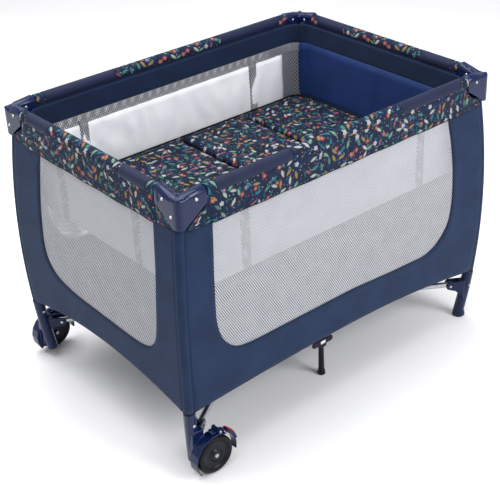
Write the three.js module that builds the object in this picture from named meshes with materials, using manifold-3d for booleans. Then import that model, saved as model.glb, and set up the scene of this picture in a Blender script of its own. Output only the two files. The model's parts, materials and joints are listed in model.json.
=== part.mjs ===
// Folding travel play yard. Four bowed legs carry centre-folding top rails and
// a folding base with a central hub. Fabric sides, a hanging bassinet and a
// four-pad mattress close it. One short end rolls on two braked wheels.
// Millimetres, +Z up, +X along the long sides. The origin lies on the floor
// under the middle of the yard.

import * as THREE from 'three';
import { mergeVertices } from 'three/addons/utils/BufferGeometryUtils.js';
import Module from 'manifold-3d';

const wasm = await Module();
wasm.setup();

// ---------------------------------------------------------------- driving dimensions

const RAIL_Z = 750; // height of every top-rail pivot
const BASE_Z = 111; // height of every base pivot
const POST_PIVOT_X = 459; // half distance between the post pivots of a long rail
const POST_PIVOT_Y = 314; // half distance between the post pivots of a short rail
const LATCH_PIVOT = 25; // half distance between the two pivots of a rail latch or the hub
const LONG_RAIL_Y = 353; // plane of the long rails
const SHORT_RAIL_X = 496; // plane of the short rails
const GAP = 0.3; // clearance between pieces that touch
const ROUND_SIDES = 12; // facets round a rod or tube
const RIVET_SIDES = 7;
const HOLE_SIDES = 6;
const LEG_SPANS = 9; // straight pieces that follow a leg's bow
const SLEEVE_SPANS = 5;

const RAIL_RADIUS = 9.5;
const RAIL_BORE = 8.3;
const RAIL_OVERHANG = 6.5; // tube beyond its pivot

const LEG_RADIUS = 11;
const LEG_BORE = 9.8;
const LEG_TOP = { x: 493.3, y: 342.4 };
const LEG_BEND_Z = 690; // the leg is straight above this height
const LEG_BEND_SPAN = 600;
const LEG_SPLAY = { x: 73.4, y: 51.9 };
const LEG_BOW = { x: 67.4, y: 59.9 };
const LEG_END_Z = 62;

const PIN_RADIUS = 2.5;
const PIN_HOLE = 2.9;
const RIVET_HEAD = 4.6;
const RIVET_HEAD_HEIGHT = 1.6;

const CAP_TOP = RAIL_Z + 27;
const CAP_COLUMN_RADIUS = 15.5;
const CAP_COLUMN_BOTTOM = 686;
const CAP_HALF_WIDTH = 15;
const CAP_WALL = 3.4;
const CAP_ARM_X = 428; // free end of the long-rail arm
const CAP_ARM_Y = 283; // free end of the short-rail arm
const CAP_RIVET_Z = 716;

const COVER_TOP = RAIL_Z + 20;
const COVER_HALF_WIDTH = 15;
const COVER_WALL = 2.4;
const BAND_LOW_Z = 675; // lower edge of the patterned band
const INNER_BAND_LOW_Z = 706;

const TUBE_RADIUS = 8; // base tubes
const TUBE_BORE = 7;
const EAR_RADIUS = 13.5;
const EAR_WALL = 4;
const EAR_HALF_GAP = TUBE_RADIUS + 0.6;

const WHEEL_RADIUS = 51.7;
const WHEEL_X = 462;
const WHEEL_INNER_Y = 357;
const WHEEL_OUTER_Y = 381;
const AXLE_RADIUS = 4;
const AXLE_HOLE = 4.4;
const HOOD_INNER = 59;
const HOOD_OUTER = 62;
const BRAKE_PIVOT_ANGLE = 102;
const BRAKE_PIVOT_RADIUS = 68.5;

const CLEVIS_RADIUS = 10;
const BASE_OVERHANG = 7; // base tube beyond its pivot
const SOCKET_RADIUS = 15.5; // plastic round the foot of a leg
const FOOT_TOP = 154;
const BRACKET_TOP = 188;
const FOOT_RIVET_Z = 108;
const BRACKET_RIVET_Z = 152;

const MID_HUB_PIVOT_Y = 40;
const MID_FOOT_PIVOT_Y = 253;
const MID_EAR_X = 29; // half distance between a middle foot's two screws
const HUB_TOP = 235;
// radius and height pairs up a middle foot's post
const MID_POST_PROFILE = [[0, 0], [11.5, 0], [11.5, 3], [8.6, 20], [7.2, 92], [0, 92]];

const SLEEVE_INNER = 12.4;
const SLEEVE_OUTER = 13.8;
const PANEL_OUT = 12.4; // outer face of a side panel, from the leg's centre line
const PANEL_WALL = 2.4;
const PANEL_TOP_Z = 704;
const HEM = { wheelEnd: 190, footEnd: 156, longMiddle: 205, shortMiddle: 234 };

const FLOOR_Z = 238;
const FLOOR_WALL = 3;

const BASSINET = { x: 479.2, y: 336.4, low: 497, top: 742, wall: 2.4, chamfer: 34 };
const PAD = { count: 4, length: 233, seam: 2, halfWidth: 328, low: 500, thick: 20 };

const CORNERS = [
  { name: 'near_left', sx: -1, sy: -1, wheeled: true },
  { name: 'near_right', sx: 1, sy: -1, wheeled: false },
  { name: 'far_right', sx: 1, sy: 1, wheeled: false },
  { name: 'far_left', sx: -1, sy: 1, wheeled: true },
];

// ---------------------------------------------------------------- finishes

const NAVY_GLOSS = { color: 0x1c3470, roughness: 0.25, metalness: 0 };
const NAVY_PLASTIC = { color: 0x2a3a66, roughness: 0.45, metalness: 0 };
const DARK_PLASTIC = { color: 0x17182c, roughness: 0.5, metalness: 0 };
const BLACK_TYRE = { color: 0x101014, roughness: 0.7, metalness: 0 };
const STEEL = { color: 0xc8cacc, roughness: 0.3, metalness: 0.9 };
const NAVY_FABRIC = { color: 0x2a3f66, roughness: 0.9, metalness: 0 };
const PATTERNED_FABRIC = { color: 0x141a30, roughness: 0.9, metalness: 0 };
const WHITE_FABRIC = { color: 0xdfe0e4, roughness: 0.9, metalness: 0 };
const RED_STRAP = { color: 0xb3202a, roughness: 0.8, metalness: 0 };

// ---------------------------------------------------------------- solids

function closedSurface(geometry) {
  const bare = new THREE.BufferGeometry();
  bare.setAttribute('position', geometry.getAttribute('position').clone());
  if (geometry.index) {
    bare.setIndex(geometry.index.clone());
  }
  return mergeVertices(bare, 1e-4);
}

function solidOf(geometry) {
  const surface = closedSurface(geometry);
  return new wasm.Manifold(new wasm.Mesh({
    numProp: 3,
    vertProperties: surface.getAttribute('position').array,
    triVerts: new Uint32Array(surface.index.array),
  }));
}

function geometryOf(solid) {
  const mesh = solid.getMesh();
  const geometry = new THREE.BufferGeometry();
  geometry.setAttribute('position', new THREE.BufferAttribute(mesh.vertProperties, 3));
  geometry.setIndex(new THREE.BufferAttribute(mesh.triVerts, 1));
  return geometry;
}

function join(...geometries) {
  return geometryOf(geometries.map(solidOf).reduce((whole, next) => whole.add(next)));
}

function cut(geometry, ...tools) {
  return geometryOf(tools.map(solidOf).reduce((whole, tool) => whole.subtract(tool), solidOf(geometry)));
}

function common(first, second) {
  return geometryOf(solidOf(first).intersect(solidOf(second)));
}

function box(low, high) {
  const geometry = new THREE.BoxGeometry(high[0] - low[0], high[1] - low[1], high[2] - low[2]);
  return geometry.translate((high[0] + low[0]) / 2, (high[1] + low[1]) / 2, (high[2] + low[2]) / 2);
}

// A turned piece: its axis runs from one point towards another, and its
// profile lists [radius, distance along the axis].
function turned(profile, from, to, sides) {
  const start = new THREE.Vector3(...from);
  const axis = new THREE.Vector3(...to).sub(start).normalize();
  const outline = profile.map(([radius, along]) => new THREE.Vector2(radius, along));
  const geometry = new THREE.LatheGeometry(outline, sides);
  geometry.applyQuaternion(new THREE.Quaternion().setFromUnitVectors(new THREE.Vector3(0, 1, 0), axis));
  return geometry.translate(start.x, start.y, start.z);
}

function rod(radius, from, to, sides = ROUND_SIDES) {
  const length = new THREE.Vector3(...from).distanceTo(new THREE.Vector3(...to));
  return turned([[0, 0], [radius, 0], [radius, length], [0, length]], from, to, sides);
}

function pipe(outer, inner, from, to, sides = ROUND_SIDES) {
  const length = new THREE.Vector3(...from).distanceTo(new THREE.Vector3(...to));
  const profile = [[inner, 0], [outer, 0], [outer, length], [inner, length], [inner, 0]];
  return turned(profile, from, to, sides);
}

// A rivet: a shaft with a domed head outside each end of the grip.
function rivet(from, to, radius = PIN_RADIUS, head = RIVET_HEAD) {
  const grip = new THREE.Vector3(...from).distanceTo(new THREE.Vector3(...to));
  const under = GAP;
  const top = under + RIVET_HEAD_HEIGHT;
  const profile = [
    [0, -top], [head * 0.8, -top], [head, -under], [radius, -under],
    [radius, grip + under], [head, grip + under], [head * 0.8, grip + top], [0, grip + top],
  ];
  return turned(profile, from, to, RIVET_SIDES);
}

// A flat outline given thickness along one axis. An outline's first coordinate
// is Y for the x axis, and X for the others; its second is Z, or Y for the z axis.
function plate(outline, axis, low, high) {
  const geometry = new THREE.ExtrudeGeometry(outline, {
    depth: high - low,
    bevelEnabled: false,
    curveSegments: 4,
  });
  const X = new THREE.Vector3(1, 0, 0);
  const Y = new THREE.Vector3(0, 1, 0);
  const Z = new THREE.Vector3(0, 0, 1);
  if (axis === 'x') {
    geometry.applyMatrix4(new THREE.Matrix4().makeBasis(Y, Z, X));
    return geometry.translate(low, 0, 0);
  }
  if (axis === 'y') {
    geometry.applyMatrix4(new THREE.Matrix4().makeBasis(X, Z, Y.clone().negate()));
    return geometry.translate(0, high, 0);
  }
  return geometry.translate(0, 0, low);
}

function outline(points) {
  return new THREE.Shape(points.map(([a, b]) => new THREE.Vector2(a, b)));
}

// A ring sector round a centre, angles in degrees.
function arcBand(centre, inner, outer, from, to) {
  const start = THREE.MathUtils.degToRad(from);
  const end = THREE.MathUtils.degToRad(to);
  const shape = new THREE.Shape();
  shape.absarc(centre[0], centre[1], outer, start, end, false);
  shape.absarc(centre[0], centre[1], inner, end, start, true);
  shape.closePath();
  return shape;
}

function ringSection(outer, inner) {
  const shape = new THREE.Shape();
  shape.absarc(0, 0, outer, 0, 2 * Math.PI, false);
  const hole = new THREE.Path();
  hole.absarc(0, 0, inner, 0, 2 * Math.PI, true);
  shape.holes.push(hole);
  return shape;
}

function sweep(section, curve, steps, curveSegments = 6) {
  const settings = { extrudePath: curve, steps, curveSegments, bevelEnabled: false };
  return new THREE.ExtrudeGeometry(section, settings);
}

// The same piece on another corner. A single mirror turns the faces inside
// out, so their winding is turned back.
function onCorner(geometry, corner) {
  const copy = closedSurface(geometry);
  copy.scale(corner.sx, corner.sy, 1);
  if (corner.sx * corner.sy < 0) {
    const index = copy.index.array;
    for (let i = 0; i < index.length; i += 3) {
      [index[i], index[i + 1]] = [index[i + 1], index[i]];
    }
  }
  return copy;
}

// ---------------------------------------------------------------- legs

function legAt(z) {
  const drop = Math.max(0, (LEG_BEND_Z - z) / LEG_BEND_SPAN);
  return new THREE.Vector3(
    LEG_TOP.x + LEG_SPLAY.x * drop - LEG_BOW.x * drop * drop,
    LEG_TOP.y + LEG_SPLAY.y * drop - LEG_BOW.y * drop * drop,
    z,
  );
}

function legCurve(top, bottom, spans) {
  const points = [];
  for (let i = 0; i <= spans; i += 1) {
    points.push(legAt(top + (bottom - top) * i / spans));
  }
  return new THREE.CatmullRomCurve3(points);
}

function rivetThroughLeg(z, radius) {
  const centre = legAt(z);
  return [[centre.x, centre.y - radius, z], [centre.x, centre.y + radius, z]];
}

// The bowed tube with the two rivets that hold its cap and its lower fitting.
function legTube(lowRivetZ) {
  const curve = legCurve(RAIL_Z + 12, LEG_END_Z, LEG_SPANS);
  const capRivet = rivet(
    [LEG_TOP.x - CAP_COLUMN_RADIUS, LEG_TOP.y, CAP_RIVET_Z],
    [SHORT_RAIL_X + CAP_HALF_WIDTH, LEG_TOP.y, CAP_RIVET_Z],
  );
  return join(
    sweep(ringSection(LEG_RADIUS, LEG_BORE), curve, LEG_SPANS),
    capRivet,
    rivet(...rivetThroughLeg(lowRivetZ, SOCKET_RADIUS + 0.6)),
  );
}

// ---------------------------------------------------------------- corner caps

function archSection(centre, bottom) {
  const round = 10;
  const left = centre - CAP_HALF_WIDTH;
  const right = centre + CAP_HALF_WIDTH;
  const shape = new THREE.Shape();
  shape.moveTo(left, bottom);
  shape.lineTo(right, bottom);
  shape.lineTo(right, CAP_TOP - round);
  shape.quadraticCurveTo(right, CAP_TOP, right - round, CAP_TOP);
  shape.lineTo(left + round, CAP_TOP);
  shape.quadraticCurveTo(left, CAP_TOP, left, CAP_TOP - round);
  return shape;
}

function cornerCap() {
  const outerX = SHORT_RAIL_X + CAP_HALF_WIDTH;
  const outerY = LONG_RAIL_Y + CAP_HALF_WIDTH;
  const armBottom = RAIL_Z - 18;
  const skirt = 2.8;
  const inside = CAP_HALF_WIDTH - CAP_WALL;
  const roof = CAP_TOP - 6;
  const column = { x: LEG_TOP.x, y: LEG_TOP.y };

  const longArm = plate(archSection(LONG_RAIL_Y, armBottom), 'x', CAP_ARM_X, outerX);
  const shortArm = plate(archSection(SHORT_RAIL_X, armBottom), 'y', CAP_ARM_Y, outerY);
  const frontSkirt = plate(outline([
    [CAP_ARM_X, armBottom], [column.x + 3, CAP_COLUMN_BOTTOM], [outerX, CAP_COLUMN_BOTTOM],
    [outerX, armBottom + 10], [CAP_ARM_X, armBottom + 10],
  ]), 'y', outerY - skirt, outerY);
  const sideSkirt = plate(outline([
    [CAP_ARM_Y, armBottom], [column.y + 3, CAP_COLUMN_BOTTOM], [outerY, CAP_COLUMN_BOTTOM],
    [outerY, armBottom + 10], [CAP_ARM_Y, armBottom + 10],
  ]), 'x', outerX - skirt, outerX);
  const socket = rod(CAP_COLUMN_RADIUS, [column.x, column.y, CAP_COLUMN_BOTTOM], [column.x, column.y, roof]);
  const corner = box([column.x, column.y, CAP_COLUMN_BOTTOM], [outerX - 1, outerY - 1, roof]);
  const whole = join(longArm, shortArm, frontSkirt, sideSkirt, socket, corner);

  const footprint = new THREE.Shape();
  const round = 15;
  footprint.moveTo(0, 0);
  footprint.lineTo(outerX, 0);
  footprint.lineTo(outerX, outerY - round);
  footprint.quadraticCurveTo(outerX, outerY, outerX - round, outerY);
  footprint.lineTo(0, outerY);
  const rounded = common(whole, plate(footprint, 'z', 600, 800));

  const railX = box([CAP_ARM_X - 9, LONG_RAIL_Y - inside, 600],
    [column.x - CAP_COLUMN_RADIUS - 1, LONG_RAIL_Y + inside, roof]);
  const railY = box([SHORT_RAIL_X - inside, CAP_ARM_Y - 9, 600],
    [SHORT_RAIL_X + inside, column.y - CAP_COLUMN_RADIUS - 1, roof]);
  const bore = rod(LEG_RADIUS + 1, [column.x, column.y, 600], [column.x, column.y, RAIL_Z + 13]);
  const mouthTop = CAP_COLUMN_BOTTOM + 16;
  const mouth = rod(LEG_RADIUS + 1.9, [column.x, column.y, 600], [column.x, column.y, mouthTop]);
  const longPin = rod(PIN_HOLE, [POST_PIVOT_X, 300, RAIL_Z], [POST_PIVOT_X, 400, RAIL_Z], HOLE_SIDES);
  const shortPin = rod(PIN_HOLE, [400, POST_PIVOT_Y, RAIL_Z], [560, POST_PIVOT_Y, RAIL_Z], HOLE_SIDES);
  const lowPin = rod(PIN_HOLE, [400, column.y, CAP_RIVET_Z], [560, column.y, CAP_RIVET_Z], HOLE_SIDES);
  return cut(rounded, railX, railY, bore, mouth, longPin, shortPin, lowPin);
}

// ---------------------------------------------------------------- leg ends

// Unit direction from a corner leg towards the hub, and the one across it.
const DIAGONAL = new THREE.Vector3(
  LATCH_PIVOT - POST_PIVOT_X, LATCH_PIVOT - POST_PIVOT_Y, 0,
).normalize();
const ACROSS = new THREE.Vector3(-DIAGONAL.y, DIAGONAL.x, 0);

// A piece drawn with its plane along the diagonal: outlines run from the base
// pivot (0) out to the leg (negative along the diagonal), with height as Z.
function diagonalPlate(shape, low, high) {
  const settings = { depth: high - low, bevelEnabled: false, curveSegments: 3 };
  const geometry = new THREE.ExtrudeGeometry(shape, settings);
  const Z = new THREE.Vector3(0, 0, 1);
  const normal = DIAGONAL.clone().cross(Z);
  geometry.applyMatrix4(new THREE.Matrix4().makeBasis(DIAGONAL, Z, normal));
  geometry.translate(normal.x * low, normal.y * low, 0);
  return geometry.translate(POST_PIVOT_X, POST_PIVOT_Y, BASE_Z);
}

function alongPin(halfLength) {
  const from = ACROSS.clone().multiplyScalar(-halfLength);
  const to = ACROSS.clone().multiplyScalar(halfLength);
  return [
    [POST_PIVOT_X + from.x, POST_PIVOT_Y + from.y, BASE_Z],
    [POST_PIVOT_X + to.x, POST_PIVOT_Y + to.y, BASE_Z],
  ];
}

function earOutline(reach, gusset) {
  const shape = new THREE.Shape();
  shape.absarc(0, 0, EAR_RADIUS, Math.PI / 2, -Math.PI / 2, true);
  shape.quadraticCurveTo(-reach * 0.6, -EAR_RADIUS - 3, -reach, -EAR_RADIUS - gusset);
  shape.lineTo(-reach, EAR_RADIUS);
  shape.closePath();
  return shape;
}

function baseEars(gusset) {
  const reach = 40;
  const shape = earOutline(reach, gusset);
  const outer = EAR_HALF_GAP + EAR_WALL;
  return join(
    diagonalPlate(shape, -outer, -EAR_HALF_GAP),
    diagonalPlate(shape, EAR_HALF_GAP, outer),
    diagonalPlate(outline([
      [-reach, -EAR_RADIUS], [-26, -EAR_RADIUS], [-26, EAR_RADIUS], [-reach, EAR_RADIUS],
    ]), -outer, outer),
  );
}

function legSocket(radius, top, bottom) {
  const path = legCurve(top, bottom, 3);
  const section = new THREE.Shape();
  section.absarc(0, 0, radius, 0, 2 * Math.PI, false);
  return sweep(section, path, 3);
}

function legBore(top) {
  return legSocket(LEG_RADIUS + 0.6, top + 20, LEG_END_Z - 3);
}

function cornerFoot() {
  const socket = legSocket(SOCKET_RADIUS, FOOT_TOP, 20);
  const end = legAt(20);
  const padProfile = [[0, 0], [18, 0], [19, 3], [17, 14], [15, 24], [0, 24]];
  const pad = turned(padProfile, [end.x, end.y, 0], [end.x, end.y, 1], ROUND_SIDES);
  const fin = diagonalPlate(outline([[-44, -104], [-20, -104], [-26, -30], [-44, -10]]), -3, 3);
  const whole = join(socket, pad, fin, baseEars(34));
  const pinHole = rod(PIN_HOLE, ...alongPin(30), HOLE_SIDES);
  const rivetHole = rod(PIN_HOLE, ...rivetThroughLeg(FOOT_RIVET_Z, 25), HOLE_SIDES);
  return cut(whole, legBore(FOOT_TOP), pinHole, rivetHole);
}

function atWheel(angle, radius) {
  const turn = THREE.MathUtils.degToRad(angle);
  return [WHEEL_X + radius * Math.cos(turn), WHEEL_RADIUS + radius * Math.sin(turn)];
}

function wheelBracket() {
  const centre = [WHEEL_X, WHEEL_RADIUS];
  const inner = WHEEL_INNER_Y - 4.5;
  const plateFace = WHEEL_INNER_Y - 1.5;
  const socket = legSocket(SOCKET_RADIUS, BRACKET_TOP, 28);
  const bridge = box([478, 336, 40], [512, plateFace, 128]);
  const hubPlate = plate(arcBand(centre, 0.5, HOOD_OUTER, -35, 122), 'y', inner, plateFace);
  const boss = rod(13, [WHEEL_X, inner, WHEEL_RADIUS], [WHEEL_X, plateFace, WHEEL_RADIUS]);
  const rim = plate(arcBand(centre, HOOD_INNER, HOOD_OUTER, -35, 122), 'y', inner, WHEEL_OUTER_Y + 2);
  const [lugX, lugZ] = atWheel(BRAKE_PIVOT_ANGLE, BRAKE_PIVOT_RADIUS);
  const lugLow = atWheel(BRAKE_PIVOT_ANGLE, HOOD_OUTER - 1.5);
  const lug = (low, high) => join(
    rod(5.5, [lugX, low, lugZ], [lugX, high, lugZ]),
    plate(outline([
      [lugLow[0] - 7, lugLow[1] - 1], [lugLow[0] + 7, lugLow[1] + 1],
      [lugX + 5, lugZ + 1], [lugX - 5, lugZ - 1],
    ]), 'y', low, high),
  );
  const whole = join(
    socket, bridge, hubPlate, boss, rim, baseEars(4),
    lug(inner, plateFace + 1), lug(WHEEL_OUTER_Y - 2, WHEEL_OUTER_Y + 2),
  );
  return cut(
    whole,
    legBore(BRACKET_TOP),
    rod(AXLE_RADIUS + GAP, [WHEEL_X, 346, WHEEL_RADIUS], [WHEEL_X, 390, WHEEL_RADIUS], 10),
    rod(2.3, [lugX, 340, lugZ], [lugX, 400, lugZ], HOLE_SIDES),
    rod(PIN_HOLE, ...alongPin(30), HOLE_SIDES),
    rod(PIN_HOLE, ...rivetThroughLeg(BRACKET_RIVET_Z, 25), HOLE_SIDES),
  );
}

function wheel() {
  const half = (WHEEL_OUTER_Y - WHEEL_INNER_Y) / 2;
  const profile = [
    [AXLE_HOLE, -half], [14, -half], [17, -half + 6], [36, -half + 6], [40, -half], [47, -half],
    [WHEEL_RADIUS, -half + 4], [WHEEL_RADIUS, half - 4], [47, half], [40, half], [36, half - 6],
    [17, half - 6], [14, half], [AXLE_HOLE, half], [AXLE_HOLE, -half],
  ];
  const middle = (WHEEL_OUTER_Y + WHEEL_INNER_Y) / 2;
  return turned(profile, [WHEEL_X, middle, WHEEL_RADIUS], [WHEEL_X, middle + 1, WHEEL_RADIUS], 24);
}

function axle() {
  const inner = WHEEL_INNER_Y - 4.5 - 5.5;
  return rivet([WHEEL_X, inner, WHEEL_RADIUS], [WHEEL_X, WHEEL_OUTER_Y, WHEEL_RADIUS], AXLE_RADIUS, 6);
}

function brakePin() {
  const [x, z] = atWheel(BRAKE_PIVOT_ANGLE, BRAKE_PIVOT_RADIUS);
  return rivet([x, WHEEL_INNER_Y - 4.5, z], [x, WHEEL_OUTER_Y + 2, z], 1.9, 3.2);
}

function brakeLever() {
  const centre = [WHEEL_X, WHEEL_RADIUS];
  const low = WHEEL_INNER_Y + 2;
  const high = WHEEL_OUTER_Y - 3.5;
  const [lugX, lugZ] = atWheel(BRAKE_PIVOT_ANGLE, BRAKE_PIVOT_RADIUS);
  const arm = plate(arcBand(centre, HOOD_OUTER + 2.5, HOOD_OUTER + 5.5, 84, 128), 'y', low, high);
  const tail = plate(arcBand(centre, HOOD_OUTER - 1, HOOD_OUTER + 4, 127, 192), 'y', low, high);
  const boss = rod(5, [lugX, low, lugZ], [lugX, high, lugZ]);
  const pad = plate(arcBand(centre, HOOD_OUTER + 3, HOOD_OUTER + 8, 128, 164), 'y', low - 2, high + 2);
  const [knobX, knobZ] = atWheel(86, HOOD_OUTER + 4);
  const [knobTopX, knobTopZ] = atWheel(86, HOOD_OUTER + 13);
  const middle = (low + high) / 2;
  const knob = rod(6, [knobX, middle, knobZ], [knobTopX, middle, knobTopZ]);
  const pin = rod(2.4, [lugX, 340, lugZ], [lugX, 400, lugZ], HOLE_SIDES);
  return cut(join(arm, tail, boss, pad, knob), pin);
}

// ---------------------------------------------------------------- top rails

// Half of a top rail, with the rivet that hinges it in its corner cap. It is
// drawn along X at y = 0 and the pivot height 0, then turned into its plane.
function halfRail(postPivot) {
  const from = [LATCH_PIVOT - RAIL_OVERHANG, 0, 0];
  const tube = pipe(RAIL_RADIUS, RAIL_BORE, from, [postPivot + RAIL_OVERHANG, 0, 0]);
  const latchHole = rod(PIN_HOLE, [LATCH_PIVOT, -20, 0], [LATCH_PIVOT, 20, 0], HOLE_SIDES);
  const postRivet = rivet([postPivot, -CAP_HALF_WIDTH, 0], [postPivot, CAP_HALF_WIDTH, 0]);
  return join(cut(tube, latchHole), postRivet);
}

const LATCH = { length: 84, cheek: 1.6, halfInside: 10.1, webTop: -14.5, webLow: -16.5, cheekTop: 10 };

function latchHousing() {
  const half = LATCH.length / 2;
  const outside = LATCH.halfInside + LATCH.cheek;
  const shell = cut(
    box([-half, -outside, LATCH.webLow], [half, outside, LATCH.cheekTop]),
    box([-half - 1, -LATCH.halfInside, LATCH.webTop], [half + 1, LATCH.halfInside, LATCH.cheekTop + 1]),
    box([-9.5, -7, LATCH.webLow - 1], [9.5, 7, LATCH.webTop + 1]),
  );
  const pin = (x) => rod(PIN_RADIUS, [x, -outside, 0], [x, outside, 0], RIVET_SIDES);
  const pins = [-LATCH_PIVOT, LATCH_PIVOT].map(pin);
  return join(shell, ...pins);
}

function latchButton() {
  return join(
    box([-9, -6.5, LATCH.webLow - 7], [9, 6.5, LATCH.webTop + 1]),
    box([-10.8, -9, LATCH.webTop + GAP], [10.8, 9, LATCH.webTop + 2.3]),
  );
}

// ---------------------------------------------------------------- base

// A base tube from the hub to a corner, with its rivet in the corner's ears.
function baseTube() {
  const reach = Math.hypot(POST_PIVOT_X - LATCH_PIVOT, POST_PIVOT_Y - LATCH_PIVOT);
  const tube = pipe(TUBE_RADIUS, TUBE_BORE, [-BASE_OVERHANG, 0, 0], [reach + BASE_OVERHANG, 0, 0]);
  const hubHole = rod(PIN_HOLE, [0, -20, 0], [0, 20, 0], HOLE_SIDES);
  const grip = EAR_HALF_GAP + EAR_WALL;
  const footRivet = rivet([reach, -grip, 0], [reach, grip, 0]);
  const turn = Math.atan2(POST_PIVOT_Y - LATCH_PIVOT, POST_PIVOT_X - LATCH_PIVOT);
  return join(cut(tube, hubHole), footRivet).rotateZ(turn).translate(LATCH_PIVOT, LATCH_PIVOT, BASE_Z);
}

// Two ears and their pin. The pin is at the origin and the roots run back along -X.
function clevis(root) {
  const outer = EAR_HALF_GAP + EAR_WALL;
  const ear = (low) => join(
    box([-root, low, -CLEVIS_RADIUS], [0, low + EAR_WALL, CLEVIS_RADIUS]),
    rod(CLEVIS_RADIUS, [0, low, 0], [0, low + EAR_WALL, 0], 10),
  );
  return join(ear(-outer), ear(EAR_HALF_GAP), rod(PIN_RADIUS, [0, -outer, 0], [0, outer, 0], RIVET_SIDES));
}

function baseHub() {
  const core = 14;
  const towerTop = HUB_TOP - BASE_Z;
  const parts = [
    box([-core, -core, -CLEVIS_RADIUS], [core, core, core + 1]),
    turned([[0, 14], [20, 14], [13, 40], [13, 95], [30, towerTop - 6], [30, towerTop], [0, towerTop]],
      [0, 0, 0], [0, 0, 1], ROUND_SIDES),
  ];
  const turn = Math.atan2(POST_PIVOT_Y - LATCH_PIVOT, POST_PIVOT_X - LATCH_PIVOT);
  for (const corner of CORNERS) {
    parts.push(onCorner(clevis(24).rotateZ(turn).translate(LATCH_PIVOT, LATCH_PIVOT, 0), corner));
  }
  for (const side of [-1, 1]) {
    parts.push(clevis(28).rotateZ(side * Math.PI / 2).translate(0, side * MID_HUB_PIVOT_Y, 0));
  }
  return join(...parts).translate(0, 0, BASE_Z);
}

function pullStrap() {
  const inner = 15;
  const outer = 18;
  const bottom = HUB_TOP + GAP;
  const bend = bottom + 16;
  const shape = new THREE.Shape();
  shape.moveTo(outer, bottom);
  shape.absarc(0, bend, outer, 0, Math.PI, false);
  shape.lineTo(-outer, bottom);
  shape.lineTo(-inner, bottom);
  shape.absarc(0, bend, inner, Math.PI, 0, true);
  shape.lineTo(inner, bottom);
  return plate(shape, 'y', -12, 12);
}

function midArm(side) {
  const from = [0, side * (MID_HUB_PIVOT_Y - BASE_OVERHANG), BASE_Z];
  const to = [0, side * (MID_FOOT_PIVOT_Y + BASE_OVERHANG), BASE_Z];
  const hole = (y) => rod(PIN_HOLE, [-20, side * y, BASE_Z], [20, side * y, BASE_Z], HOLE_SIDES);
  return cut(pipe(TUBE_RADIUS, TUBE_BORE, from, to), hole(MID_HUB_PIVOT_Y), hole(MID_FOOT_PIVOT_Y));
}

// A T-shaped foot: a cross plate with two screw ears, a clevis for the arm and
// a post that widens to the floor. Drawn for the +Y side.
function midFoot() {
  const pivot = MID_FOOT_PIVOT_Y;
  const face = pivot + 10.5;
  const ear = 8.5;
  const head = new THREE.Shape();
  head.absarc(-MID_EAR_X, 107, ear, Math.PI / 2, 3 * Math.PI / 2, false);
  head.lineTo(MID_EAR_X, 107 - ear);
  head.absarc(MID_EAR_X, 107, ear, -Math.PI / 2, Math.PI / 2, false);
  head.closePath();
  const centre = pivot + 7;
  return join(
    plate(head, 'y', face, face + 4.5),
    clevis(6).rotateZ(-Math.PI / 2).translate(0, pivot, BASE_Z),
    ...[-1, 1].map((side) => box(
      side < 0 ? [-EAR_HALF_GAP - EAR_WALL, pivot, 92] : [EAR_HALF_GAP, pivot, 92],
      side < 0 ? [-EAR_HALF_GAP, face + 1, 118] : [EAR_HALF_GAP + EAR_WALL, face + 1, 118],
    )),
    box([-EAR_HALF_GAP - EAR_WALL, pivot - 6, 90], [EAR_HALF_GAP + EAR_WALL, face + 4.5, 100]),
    turned(MID_POST_PROFILE, [0, centre, 0], [0, centre, 1], ROUND_SIDES),
    ...[-MID_EAR_X, MID_EAR_X].map((x) => rod(3.4, [x, face + 4, 107], [x, face + 6, 107], RIVET_SIDES)),
  );
}

// ---------------------------------------------------------------- fabric

// A rail cover is drawn along X over a rail at y = 0 and height 0, with its
// outer, patterned side towards +Y.
function railCover(half, bandHalf) {
  const inside = COVER_HALF_WIDTH - COVER_WALL;
  const top = COVER_TOP - RAIL_Z;
  const bandLow = BAND_LOW_Z - RAIL_Z;
  const capEdge = CAP_COLUMN_BOTTOM - RAIL_Z - 1.5;
  const shell = cut(
    box([-half, -COVER_HALF_WIDTH, -20], [half, COVER_HALF_WIDTH, top]),
    box([-half - 1, -inside, -21], [half + 1, inside, top - COVER_WALL]),
  );
  const band = plate(outline([
    [-half, -19], [-bandHalf, capEdge], [-bandHalf, bandLow],
    [bandHalf, bandLow], [bandHalf, capEdge], [half, -19],
  ]), 'y', inside, COVER_HALF_WIDTH);
  const innerBand = box([-half, -COVER_HALF_WIDTH, INNER_BAND_LOW_Z - RAIL_Z], [half, -inside, -19]);
  return join(shell, band, innerBand);
}

// The curved wall that follows the legs' bow. axis names the direction across
// the wall: 'y' for the long sides, 'x' for the short ones.
function bowedWall(axis, halfSpan) {
  const steps = 6;
  const low = 120;
  const shape = new THREE.Shape();
  const offset = (z) => legAt(z)[axis];
  for (let i = 0; i <= steps; i += 1) {
    const z = PANEL_TOP_Z + (low - PANEL_TOP_Z) * i / steps;
    const point = [offset(z) + PANEL_OUT, z];
    if (i === 0) {
      shape.moveTo(...point);
    } else {
      shape.lineTo(...point);
    }
  }
  for (let i = steps; i >= 0; i -= 1) {
    const z = PANEL_TOP_Z + (low - PANEL_TOP_Z) * i / steps;
    shape.lineTo(offset(z) + PANEL_OUT - PANEL_WALL, z);
  }
  return plate(shape, axis === 'y' ? 'x' : 'y', -halfSpan, halfSpan);
}

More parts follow.
